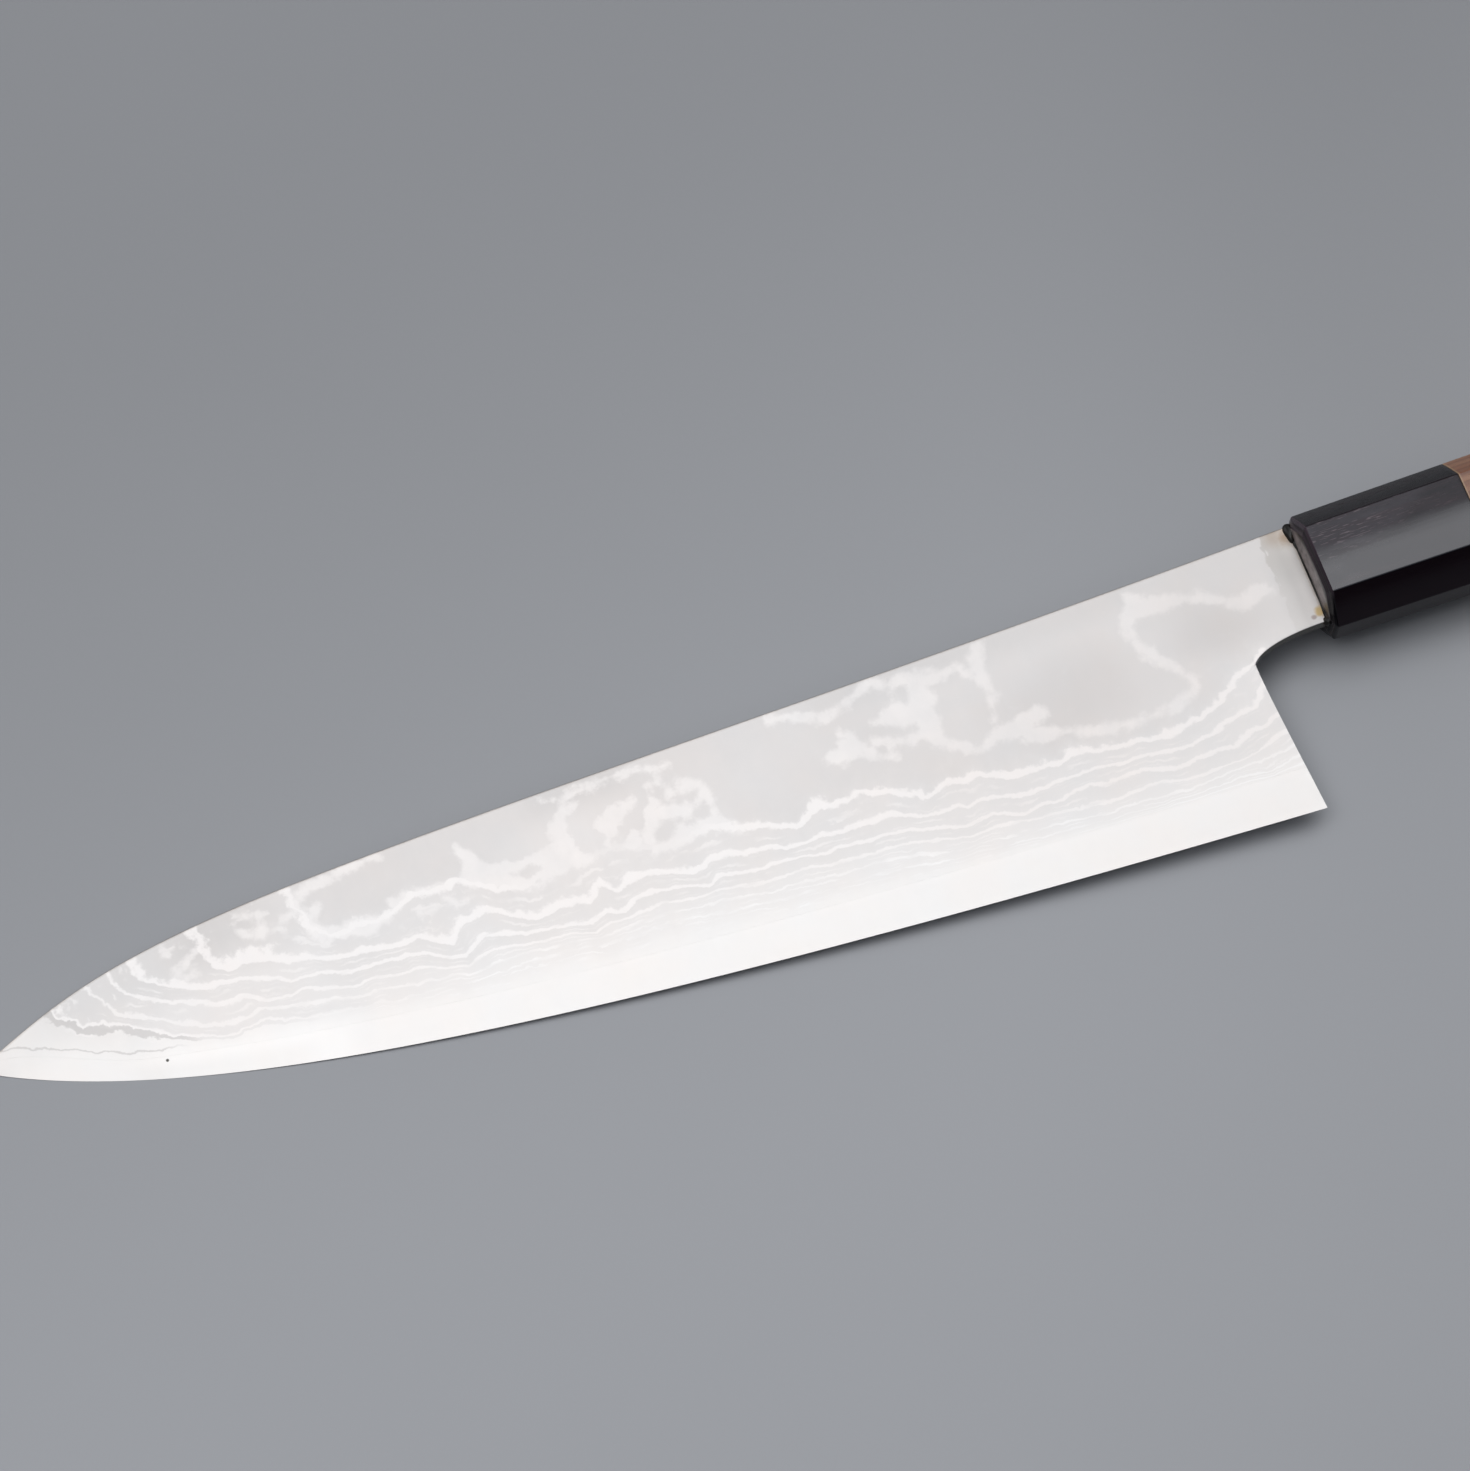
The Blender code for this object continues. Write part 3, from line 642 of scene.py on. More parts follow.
def path_gaps(points: np.ndarray, path: np.ndarray) -> tuple[np.ndarray, np.ndarray, np.ndarray]:
    """Measures points against each piece of a broken line.

    Args:
        points: the points, one a row.
        path: the corners of the line.

    Returns:
        The distance to each piece, how far along the piece it is taken as a share, and the piece's number.
    """
    start, run = path[:-1], np.diff(path, axis=0)
    away = points[:, None, :] - start[None, :, :]
    share = np.clip((away * run).sum(2) / np.maximum((run * run).sum(1), 1e-9), 0.0, 1.0)
    gap = np.linalg.norm(away - share[:, :, None] * run, axis=2)
    return gap, share, np.arange(len(run))


@dataclass(frozen=True)
class LayerMap:
    """Where the folded layers come to the surface of the blade's two faces."""

    lines: tuple[LayerLine, ...] = LAYER_LINES
    marks: tuple[PaleMark, ...] = PALE_MARKS
    plateau_reach: float = 2.2
    mirror_x: float = -224.0
    face_share: float = 0.93
    no_patch: float = -20.0

    def warp(self, points: np.ndarray) -> np.ndarray:
        """Where the right face reads the lines: the same layers surface there in other waves.

        Args:
            points: points on the right face.

        Returns:
            The places that they read.
        """
        x, y = points[:, 0], points[:, 1]
        return np.column_stack((x + 3.0 * np.sin(x / 17.0 + 1.0),
                                y + 0.9 * np.sin(x / 11.0) + 0.6 * np.sin(x / 4.3 + y / 7.0)))

    def levels(self, points: np.ndarray, core: np.ndarray) -> np.ndarray:
        """The number of the layer at each point, 0 at the core.

        Args:
            points: the points in millimetres.
            core: the height of the core's line at each.

        Returns:
            The layer numbers.
        """
        x, y = points[:, 0], points[:, 1]
        floor = np.maximum(y - core, 0.0)
        gaps, above = [], []
        for line in self.lines:
            path = np.array(line.points, float)
            gaps.append(path_gaps(points, path)[0].min(1))
            above.append(y > np.interp(-x, -path[:, 0], path[:, 1]))
        top = self.lines[0].level + 0.5 * (1.0 - np.exp(-gaps[0] / self.plateau_reach))
        result = np.where(above[0], top, np.nan)
        for i, lower in enumerate(self.lines[1:], 1):
            share = gaps[i] / np.maximum(gaps[i] + gaps[i - 1], 1e-6)
            between = lower.level + (self.lines[i - 1].level - lower.level) * share
            result = np.where(np.isnan(result) & ~above[i - 1] & above[i], between, result)
        last = self.lines[-1].level * floor / np.maximum(floor + gaps[-1], 1e-6)
        return np.where(np.isnan(result), last, result)

    def pale(self, points: np.ndarray) -> np.ndarray:
        """How far inside the nearest pale patch each point lies, in millimetres, below 0 outside.

        Args:
            points: the points in millimetres.

        Returns:
            The distance for each.
        """
        best = np.full(len(points), self.no_patch)
        for mark in self.marks:
            path = np.array(mark.points, float)
            gap, share, piece = path_gaps(points, path[:, :2])
            width = path[piece, 2] + share * (path[piece + 1, 2] - path[piece, 2])
            best = np.maximum(best, (width - gap).max(1))
        return best

    def write(self, thing: bpy.types.Object, form: BladeForm, frame: Matrix) -> None:
        """Writes the layer number, the pale patches and the place between core and spine on a piece's points.

        Args:
            thing: the steel piece.
            form: the blade's form.
            frame: the matrix of the knife's axes.
        """
        flat = np.empty(len(thing.data.vertices) * 3)
        thing.data.vertices.foreach_get("co", flat)
        points = (flat.reshape(-1, 3) - np.array(frame.translation)) @ np.array(frame.to_3x3())
        core, top = form.core_line(points[:, 0]) / MM, form.spine_y(points[:, 0]) / MM
        place = points[:, :2] / MM
        outside = np.abs(points[:, 2]) > self.face_share * form.half_thickness(points[:, 0], points[:, 1])
        left, right = outside & (points[:, 2] > 0.0), outside & (points[:, 2] <= 0.0)
        other = np.column_stack((self.mirror_x - place[:, 0], place[:, 1]))
        layer, pale = np.zeros(len(place)), np.full(len(place), self.no_patch)
        layer[left], pale[left] = self.levels(place[left], core[left]), self.pale(place[left])
        layer[right], pale[right] = self.levels(self.warp(place[right]), core[right]), self.pale(other[right])
        for name, values in zip(MESH_VALUES, (place[:, 1] - core, top - place[:, 1], layer, pale)):
            attribute = thing.data.attributes.new(name, "FLOAT", "POINT")
            attribute.data.foreach_set("value", values.astype(np.float32))


@dataclass(frozen=True)
class Zones:
    """Where along the blade its finish changes, in millimetres from the collar.

    A span holds where a change begins and where it is complete. A window rises between its first two
    places and falls between its last two.
    """

    tip: Span = (-160.0, -200.0)
    whole_tip_lines: Span = (-175.0, -205.0)
    whole_heel_lines: Span = (-60.0, -30.0)
    far_half: Span = (-60.0, -110.0)
    far_patches: Span = (-66.0, -112.0)
    point: Span = (-206.0, -236.0)
    belly: Window = (-190.0, -204.0, -222.0, -230.0)
    point_spine: Span = (-188.0, -208.0)
    last_spine: Span = (-208.0, -221.0)
    point_layers: Window = (-186.0, -194.0, -219.0, -226.0)
    back_spine: Window = (-26.0, -34.0, -88.0, -100.0)
    middle_spine: Window = (-124.0, -132.0, -144.0, -150.0)
    weld: Span = (-216.0, -222.0)
    accent: Span = (-211.0, -218.0)
    thin_accent: Span = (-190.0, -202.0)
    # From here towards the collar the down-facing steel gets painted shade.
    shaded_underside: Span = (-15.5, -13.0)
    neck: Span = (-36.0, -22.0)
    # Where painted light brightens the steel before the collar, against the shade that falls there.
    mouth: Span = (-3.2, -0.2)
    specks: Span = (-34.0, -12.0)


class SteelSurface(Surface):
    """The surface of a steel piece, with the mesh's own values and the noises that its pattern is made of."""

    def __init__(self, name: str, frame: Matrix, zones: Zones) -> None:
        """Reads the mesh's values and adds the noises.

        Args:
            name: the material's name.
            frame: the matrix of the knife's axes.
            zones: where along the blade the finish changes.
        """
        super().__init__(name, frame)
        self.zones = zones
        self.rise, self.depth, self.layer, self.pale = (
            self.node("ShaderNodeAttribute", "Fac", {"attribute_name": word}) for word in MESH_VALUES)
        self.side = self.join(self.x, self.y, self.z.above(0.0) * 40.0)
        self.coarse = self.noise(self.side, 3.6, 2.0, 0.5)
        self.fine = self.noise(self.side, 1.2, 4.0, 0.65)
        self.broad = self.noise(self.side, 24.0, 2.0)
        self.cloud = self.noise(self.side, 4.5, 4.0, 0.6)
        self.low = self.ease(self.layer, 5.0, 1.5)
        self.tip = self.ease(self.x, *zones.tip)
        self.far = self.ease(self.x, *zones.far_half)
        waves = self.coarse * (0.24 + self.low * 0.25) + self.fine * (0.16 + self.low * 0.10)
        self.level = self.layer + waves
        deep = (self.level * 0.20).at_most(self.level * 0.12 + 0.16).at_least(0.0).at_most(1.0)
        self.deep = deep.at_least(self.tip * self.ease(self.level, 1.90, 2.10) * 0.80)

    def streaky(self, stretch: float, size: float, shift: float, start: float, end: float) -> Value:
        """Long streaks along the blade, as a mask."""
        return self.ease(self.grain((stretch, 1.0, 0.0), size, shift=shift), start, end)


@dataclass(frozen=True)
class LayeredSteel:
    """Soft steel of many folded layers, etched and polished, that thins out over a bright core."""

    zones: Zones = Zones()
    ground: Colour = (0.676, 0.658, 0.651)
    plateau: Colour = (0.606, 0.586, 0.578)
    warm: Colour = (1.008, 0.992, 0.982)
    cool: Colour = (0.995, 1.000, 1.004)
    core: Colour = (0.792, 0.777, 0.766)
    pale: Colour = (0.772, 0.745, 0.734)
    glint: Colour = (0.815, 0.806, 0.802)
    dark: Colour = (0.42, 0.40, 0.395)
    forged: Colour = (0.840, 0.833, 0.815)
    rim: Colour = (0.780, 0.740, 0.700)
    amber: Colour = (0.360, 0.270, 0.195)
    gold: Colour = (0.640, 0.490, 0.260)
    rust: Colour = (0.300, 0.210, 0.190)
    # Dark scale colour: a real pit, and painted shade on the down-facing steel under the heel and neck.
    scale: Colour = (0.115, 0.112, 0.102)
    line_strength: float = 0.92
    patch_strength: float = 0.65
    echo_strength: float = 0.58
    line_share: float = 0.125
    soft: float = 0.06
    weld_rise: float = 2.1
    dark_line_strength: float = 0.42
    pit: tuple[float, ...] = (-221.0, -16.4, 0.36, 0.5)
    smudges: tuple[tuple[float, ...], ...] = (
        (-49.0, -6.0, 22.0, 13.0, 1.0), (-84.0, 0.0, 12.0, 10.0, 0.5), (-19.0, -3.5, 12.0, 8.0, 0.6))

    def lines(self, g: SteelSurface) -> Value:
        """The pale lines, one at each whole layer number, worn away in places.

        Args:
            g: the steel's surface.

        Returns:
            The mask.
        """
        gap = ((g.level + 0.5).part() - 0.5).size()
        width = self.line_share + g.noise(g.side, 6.0, 1.0) * 0.08 + g.tip * 0.015
        width = width * (1.0 - g.tip * g.ease(g.depth, 9.0, 5.5) * 0.48)
        worn = g.ease(g.grain((0.22, 1.0, 0.0), 1.3, shift=3.0) + g.level * 0.22, 0.10, 1.0)
        worn = worn.at_least(g.ease(g.x, *self.zones.whole_tip_lines) * 0.85)
        worn = worn.at_least(g.ease(g.x, *self.zones.whole_heel_lines) * 0.80)
        worn = worn * g.ease(g.level, 0.3, 1.0) * (1.0 - g.tip * g.ease(g.level, 1.65, 1.40))
        hidden = g.ease(g.level, 6.5, 6.7) * g.oval(-136.0, -7.0, 22.0, 9.0) * 0.55
        return g.ease(gap, width + self.soft, width - self.soft) * worn * (1.0 - hidden)

    def echoes(self, g: SteelSurface) -> Value:
        """The fainter lines half and a quarter of the way between the pale ones.

        Args:
            g: the steel's surface.

        Returns:
            The mask.
        """
        half = g.ease((g.level.part() - 0.5 + g.coarse * 0.06).size(), 0.11, 0.03)
        quarter = g.ease(((g.level * 2.0).part() - 0.5 + g.fine * 0.12).size(), 0.13, 0.04)
        thick = half * g.streaky(0.35, 2.6, 17.0, -0.1, 0.3)
        thin = quarter * g.streaky(0.3, 2.2, 41.0, 0.0, 0.4)
        return thick.at_least(thin * 0.6) * g.ease(g.level, 7.0, 6.6) * g.ease(g.level, 0.8, 1.6)

    def patches(self, g: SteelSurface) -> Value:
        """The pale hammered patches, with ragged borders, and the haze round the middle ones.

        Args:
            g: the steel's surface.

        Returns:
            The mask.
        """
        torn = g.noise(g.side, 4.2, 4.0, 0.62)
        ragged = g.pale + g.coarse * 0.8 + torn * (2.2 + g.far * 0.8) + g.fine * 0.5
        strength = (0.90 + g.cloud * 0.45) * g.ease(g.x, *self.zones.far_patches, 0.98, 1.14)
        return (g.ease(ragged, -0.75, 0.80) * strength).at_least(g.oval(-141.0, -2.0, 18.0, 8.0) * 0.50)

    def tone(self, g: SteelSurface, raised: Value) -> Value:
        """How light the steel is: a step from layer to layer, clouds, and a shade along the spine.

        Args:
            g: the steel's surface.
            raised: 1 where the upper layers show.

        Returns:
            The tone, near 1.
        """
        zones = self.zones
        step = g.node("ShaderNodeTexWhiteNoise", "Value", {"noise_dimensions": "1D"}, {"W": g.level.whole()})
        tone = 1.0 + g.deep * ((step - 0.5) * 0.030 + g.broad * 0.018 + g.cloud * 0.030)
        tone = tone + g.oval(-118.0, -2.0, 30.0, 12.0) * 0.022 * raised
        point_shade = g.ease(g.depth, 11.0, 3.0) * g.ease(g.x, *zones.point_spine)
        point_light = g.ease(g.depth, 9.5, 14.0) * g.window(g.x, zones.point_layers) * 0.040
        spine = g.window(g.x, zones.back_spine).at_least(g.window(g.x, zones.middle_spine))
        tone = tone - point_shade * g.ease(g.x, *zones.last_spine, 0.110, 0.045) + point_light
        return tone - spine * g.ease(g.depth, 7.0, 1.5) * 0.055

    def ground_steel(self, g: SteelSurface) -> Value:
        """The steel between the pale marks, from the bright core to the darker plateau under the spine.

        Args:
            g: the steel's surface.

        Returns:
            The colour.
        """
        raised = g.ease(g.level, 7.05, 7.45).at_least(g.tip * g.ease(g.level, 1.95, 2.2) * 0.36)
        smudge: Source = 0.0
        for x, y, long, wide, strength in self.smudges:
            smudge = (g.oval(x, y, long, wide) * strength).at_least(smudge)
        shade = g.ease(smudge * 0.8 + g.broad * 0.6 + g.cloud * 0.3, -0.1, 1.0) * raised
        belly = g.window(g.x, self.zones.belly) * g.ease(g.rise, 0.5, -2.5)
        core = g.tint(self.core, 1.0 - g.ease(g.x, *self.zones.point) * 0.020 - belly * 0.045)
        steel = g.mix(raised * 0.30 + shade * 0.70, g.mix(g.deep, core, self.ground), self.plateau)
        return g.tint(steel, self.tone(g, raised))

    def dark_lines(self, g: SteelSurface) -> Value:
        """The dark line of the weld over the core and the one above it, both near the tip.

        Args:
            g: the steel's surface.

        Returns:
            The mask.
        """
        weld = g.ease((g.rise - self.weld_rise + g.coarse * 0.8 + g.fine * 0.5).size(), 0.28, 0.06)
        weld = weld * g.ease(g.x, *self.zones.weld)
        place = g.ease(g.x, *self.zones.accent).at_least(g.ease(g.x, *self.zones.thin_accent) * 0.35)
        return weld.at_least(g.ease(g.level, 1.55, 1.66) * g.ease(g.level, 1.95, 1.88) * place)

    def dress(self, name: str, frame: Matrix) -> bpy.types.Material:
        """Makes the finish, laid out in the given axes.

        Args:
            name: the material's name.
            frame: the matrix of the knife's axes.

        Returns:
            The material.
        """
        g = SteelSurface(name, frame, self.zones)
        bright = (self.lines(g) * self.line_strength).at_least(self.patches(g) * self.patch_strength)
        bright = bright.at_least(self.echoes(g) * self.echo_strength)
        shine = g.mix((g.low * (1.0 - g.tip * 0.65)).at_least(g.far * 0.32), self.pale, self.glint)
        steel = g.mix(bright, self.ground_steel(g), shine)
        tinge = g.mix(g.broad + g.noise(g.side, 9.0, 2.0) * 0.8 + 0.5, self.cool, self.warm)
        steel = g.vector("MULTIPLY", steel, tinge)
        steel = g.mix(self.dark_lines(g) * self.dark_line_strength, steel, self.dark)
        border = g.ease(g.depth + g.fine * 0.15, 0.60, 0.15) * 0.55
        steel = g.mix(border, steel, g.vector("MULTIPLY", steel, self.rim))
        steel = self.neck_marks_and_painted_light(g, steel)
        # Painted shade: steel facing down under the heel and neck is painted dark, standing in for the shadow
        # that it reflects; the pit is a real mark.
        under = g.ease(g.facing(1) + g.coarse * 0.1, -0.45, -0.8) * g.ease(g.x, *self.zones.shaded_underside)
        steel = g.paint(steel, (under * 0.9, self.scale), (g.dot(*self.pit), self.scale))
        hair = g.grain((3.0, 0.15, 3.0), 1.0)
        rough = 0.60 - bright * 0.01 - (1.0 - g.deep) * 0.01 + hair * 0.02
        return g.finish(base_color=g.tint(steel, hair * 0.012 + 1.0), metallic=1.0, roughness=rough)

    def neck_marks_and_painted_light(self, g: SteelSurface, steel: Value) -> Value:
        """Adds the duller forged patch, the resin stains beside the collar and painted light on the steel
        just before the collar.

        Args:
            g: the steel's surface.
            steel: its colour.

        Returns:
            The colour with the marks.
        """
        zones, coarse, fine = self.zones, g.coarse, g.fine
        stepped = g.noise(g.vector("SNAP", g.join(g.x, g.y), (1.3, 2.1, 1.0)), 3.0, 1.0)
        near = g.ease(g.x, *zones.neck) * g.ease(g.y + coarse, -12.0, -4.0)
        steel = g.tint(steel, 1.0 - near * 0.055)
        patch = g.ease(g.x + 5.6 + coarse * 1.6 + stepped * 1.6, -0.20, 0.30)
        patch = patch * g.ease(g.y + coarse, -3.5, 6.0, 0.32, 1.0)
        steel = g.mix(patch, steel, g.vector("MULTIPLY", steel, self.forged))
        # Painted light: the steel is made up to 1.26 times lighter over its last 3 mm before the collar, to
        # cancel the shade that falls beside the collar.
        steel = g.tint(steel, g.ease(g.x, *zones.mouth, 1.0, 1.26))
        specks = g.ease(g.noise(g.vector("ADD", g.place, (31.0, 7.0, 0.0)), 1.5), 0.52, 0.70)
        steel = g.tint(steel, 1.0 - specks * g.ease(g.x, *zones.specks) * 0.14)
        amber = g.dot(-0.5, 8.7, 3.0, 0.9, fine * 0.7) * g.ease(fine + coarse, -1.6, 0.1)
        amber = amber.at_least(g.dot(-2.6, 9.5, 3.4, 0.9, coarse * 0.8 + fine * 0.4) * 0.50)
        gap = g.ease(g.x + fine * 0.25, -0.35, 0.2)
        gold = g.dot(-0.3, -6.8, 1.3, 0.6, fine * 0.5)
        rust = g.dot(-1.7, -7.6, 0.65, 0.7, fine * 0.4)
        return g.paint(steel, (amber * 0.85, self.amber), (gap * 0.35, self.amber), (gold * 0.95, self.gold),
                       (rust * 0.6, self.rust))


@dataclass(frozen=True)
class DarkWood:
    """Dense, nearly black wood with reddish streaks and fine pores, polished on its broad faces."""

    deep: Colour = (0.0036, 0.0028, 0.0042)
    haze: Colour = (0.0065, 0.0060, 0.0125)
    streak: Colour = (0.034, 0.0200, 0.0240)
    pore: Colour = (0.200, 0.165, 0.180)
    cloud: Colour = (0.058, 0.052, 0.062)
    plum: Colour = (0.014, 0.006, 0.009)
    bevel: Colour = (0.034, 0.024, 0.031)
    # The front's pale colour: cut wood, made paler still as painted light from the bright blade beside it.
    front: Colour = (0.345, 0.297, 0.292)
    reflection: Colour = (0.90, 0.91, 1.0)
    ior: float = 1.26
    coat_roughness: float = 0.10
    pore_depth: float = 0.00002

    def front_end(self, g: Surface, colour: Value, cut: Value) -> Value:
        """Adds the bevel with painted light that grows towards its top, and the front's cut wood, paler in
        part for real and in part as painted light from the bright blade beside it.

        Args:
            g: the material's surface.
            colour: the wood's colour.
            cut: 1 on the front, where the wood was cut across.

        Returns:
            The colour with the front.
        """
        mottle = g.grain((1.0, 0.5, 0.5), 0.8, 3.0, 0.6)
        slope = g.ease(g.facing(0), -0.20, -0.45) * (1.0 - cut)
        low_end = g.ease(g.y + mottle * 0.5, -6.2, -7.8)
        # Painted light: the bevel's colour is made 1.1 to 2.1 times lighter from its bottom to its top.
        lit_bevel = g.tint(self.bevel, g.ease(g.y, -4.0, 8.0, 1.1, 2.1))
        bow = g.ease(g.z.size() + (g.y * 0.12) ** 2.0 * 2.6 + mottle * 0.6, 7.9, 6.0)
        # The pale front is partly cut wood and partly painted light.
        pale_lit_front = cut * bow * (1.0 - low_end * 0.75) * (0.82 + mottle * 1.10)
        return g.paint(colour, (slope * (1.0 - low_end) * 0.80, lit_bevel), (pale_lit_front, self.front))

    def dress(self, name: str, frame: Matrix) -> bpy.types.Material:
        """Makes the finish, laid out in the given axes.

        Args:
            name: the material's name.
            frame: the matrix of the knife's axes.

        Returns:
            The material.
        """
        g = Surface(name, frame)
        grain = g.grain((0.05, 1.0, 1.0), 2.2, 4.0, 0.6)
        fine = g.grain((0.06, 1.0, 1.0), 0.35, shift=5.0)
        broad_face = g.ease(g.facing(2).size(), 0.80, 0.95)
        cut = g.ease(g.facing(0), -0.90, -0.975)
        dull = g.ease(g.y + grain * 1.9, -2.4, 2.6)
        streaks = g.ease(grain + fine * 0.55 + dull * 0.35, 0.0, 0.9)
        pores = g.pores(9.0, 0.14, 0.38)
        clouds = g.ease(g.grain((0.35, 1.0, 1.0), 3.0, 4.0, 0.6, 23.0), -0.1, 0.6)
        hazy = (clouds * 0.45 + dull * 0.50) * g.ease(g.x - g.y * 1.4, 18.0, 12.0, 0.22, 1.0)
        open_pores = pores * dull * g.ease(grain, -0.4, 0.4) * broad_face * g.ease(g.x, 24.0, 5.0, 0.18, 1.0)
        colour = g.paint(self.deep, (broad_face * (1.0 - dull), self.haze), (hazy * broad_face, self.cloud),
                         (streaks * (0.22 + broad_face * 0.28), self.streak), (open_pores, self.pore),
                         (g.ease(g.facing(1), -0.6, -0.9) * 0.5, self.plum))
        return g.finish(base_color=self.front_end(g, colour, cut),
                        roughness=0.12 + dull * 0.10 + streaks * 0.05 + pores * dull * 0.12 + cut * 0.22,
                        normal=g.bump(1.0 - pores * (0.25 + dull * 0.75), self.pore_depth, 0.4),
                        specular_tint=self.reflection, ior=self.ior,
                        coat_weight=broad_face * (1.0 - dull * 0.92), coat_roughness=self.coat_roughness)


@dataclass(frozen=True)
class GripWood:
    """Reddish brown wood with long streaks from tan to dark brown, lightly waxed."""

    light: Colour = (0.335, 0.175, 0.105)
    warm: Colour = (0.232, 0.094, 0.053)
    dark: Colour = (0.085, 0.030, 0.020)
    # Colour of a painted highlight along the grip's front edge beside the collar.
    rim: Colour = (0.470, 0.340, 0.215)
    heart: Span = (-19.0, 13.0)
    ring_width: float = 1.9
    rim_highlight_zone: Span = (31.55, 31.20)
    pore_depth: float = 0.00004

    def dress(self, name: str, frame: Matrix) -> bpy.types.Material:
        """Makes the finish, laid out in the given axes.

        Args:
            name: the material's name.
            frame: the matrix of the knife's axes.

        Returns:
            The material.
        """
        g = Surface(name, frame)
        bend = g.grain((0.010, 0.10, 0.10), 1.6)
        heart_y, heart_z = self.heart
        growth = g.vector("LENGTH", g.join(g.y - heart_y, g.z - heart_z)) + bend * 2.4 + g.x * 0.012
        ring = (growth / self.ring_width).part()
        late = g.ease(ring, 0.10, 0.92) * g.ease(ring, 1.0, 0.93)
        streaks = g.grain((0.035, 1.0, 0.7), 2.4, 3.0, 0.55)
        fine = g.grain((0.05, 1.0, 1.0), 0.4, 3.0, 0.6, 3.0)
        pores = g.pores(7.0, 0.36, 0.58)
        tan_streaks = g.ease(streaks + fine * 0.4, -0.5, 0.4)
        dark_streaks = g.ease(streaks * -1.0 + fine * 0.5, 0.08, 0.62)
        end_grain = g.ease(g.facing(0).size(), 0.80, 0.95)
        # The last coat is a painted highlight on the grip's front edge.
        colour = g.paint(self.warm, (tan_streaks, self.light), (late * 0.42 + dark_streaks * 0.55, self.dark),
                         (end_grain * 0.35, self.dark), (pores * 0.6, self.dark),
                         (g.ease(g.x, *self.rim_highlight_zone) * 0.55, self.rim))
        return g.finish(base_color=colour, roughness=0.42 + pores * 0.2 + fine * 0.04,
                        normal=g.bump(1.0 - pores, self.pore_depth, 0.6))


@dataclass(frozen=True)
class Adhesive:
    """Cured resin, amber where thick and nearly black in the gap."""

    colour: Colour = (0.0065, 0.0055, 0.0045)
    pale: Colour = (0.20, 0.11, 0.05)

    def dress(self, name: str, frame: Matrix) -> bpy.types.Material:
        """Makes the finish, laid out in the given axes.

        Args:
            name: the material's name.
            frame: the matrix of the knife's axes.

        Returns:
            The material.
        """
        g = Surface(name, frame)
        cloud = g.ease(g.noise(g.place, 0.9, 3.0, 0.6), 0.1, 0.6)
        return g.finish(base_color=g.mix(cloud * 0.35, self.colour, self.pale), roughness=0.50 + cloud * 0.15)


@dataclass(frozen=True)
class PlainWood:
    """Pale sawn wood, hidden inside the handle."""

    light: Colour = (0.56, 0.42, 0.26)
    dark: Colour = (0.42, 0.29, 0.16)
    roughness: float = 0.6

    def dress(self, name: str, frame: Matrix) -> bpy.types.Material:
        """Makes the finish, laid out in the given axes.

        Args:
            name: the material's name.
            frame: the matrix of the knife's axes.

        Returns:
            The material.
        """
        g = Surface(name, frame)
        grain = g.grain((0.05, 1.0, 1.0), 1.2, 3.0, 0.6)
        colour = g.mix(g.ease(grain, -0.4, 0.4), self.dark, self.light)
        return g.finish(base_color=colour, roughness=self.roughness)


@dataclass(frozen=True)
class TablePaper:
    """The smooth grey sheet that the knife lies on, with painted shade that makes it a little darker away
    from the viewer and to the right.
    """

    colour: Colour = (0.400, 0.410, 0.435)
    # Share of the tone that the painted shade leaves on the far side of the sheet.
    far_shade_share: float = 0.74
    roughness: float = 0.75
    tooth: float = 0.00003

    def dress(self, name: str, frame: Matrix) -> bpy.types.Material:
        """Makes the finish, laid out in the given axes.

        Args:
            name: the material's name.
            frame: the matrix of the knife's axes.

        Returns:
            The material.
        """
        g = Surface(name, frame)
        cloud = g.noise(g.place, 60.0, 3.0, 0.5)
        grain = g.noise(g.place, 0.6, 2.0, 0.6)
        # Painted shade: the sheet's tone falls away from the viewer and to the right, standing in for the
        # softbox's falloff.
        far = g.ease(g.y - g.x * 0.15, -70.0, 190.0, 1.0, self.far_shade_share)
        right = g.ease(g.x * 0.944 - g.y * 0.330, -20.0, 75.0)
        up = g.ease(g.x * 0.330 + g.y * 0.944, -110.0, 90.0)
        tone = far * (1.0 - right * (0.045 + up * 0.080)) * (1.0 + cloud * 0.012 + grain * 0.010)
        return g.finish(base_color=g.tint(self.colour, tone), roughness=self.roughness,
                        normal=g.bump(grain * 0.5 + 0.5, self.tooth, 0.3))


Finish = Union[LayeredSteel, DarkWood, GripWood, Adhesive, PlainWood]


def settle(thing: bpy.types.Object, node: str, finish: Finish, place: Matrix) -> None:
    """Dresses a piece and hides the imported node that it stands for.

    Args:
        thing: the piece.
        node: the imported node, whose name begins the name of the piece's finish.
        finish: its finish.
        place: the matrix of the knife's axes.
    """
    thing.data.materials.append(finish.dress(node + "_finish", place))
    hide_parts(node)
    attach(thing, "root")
    LOG.info("%s: %d faces", thing.name, len(thing.data.polygons))


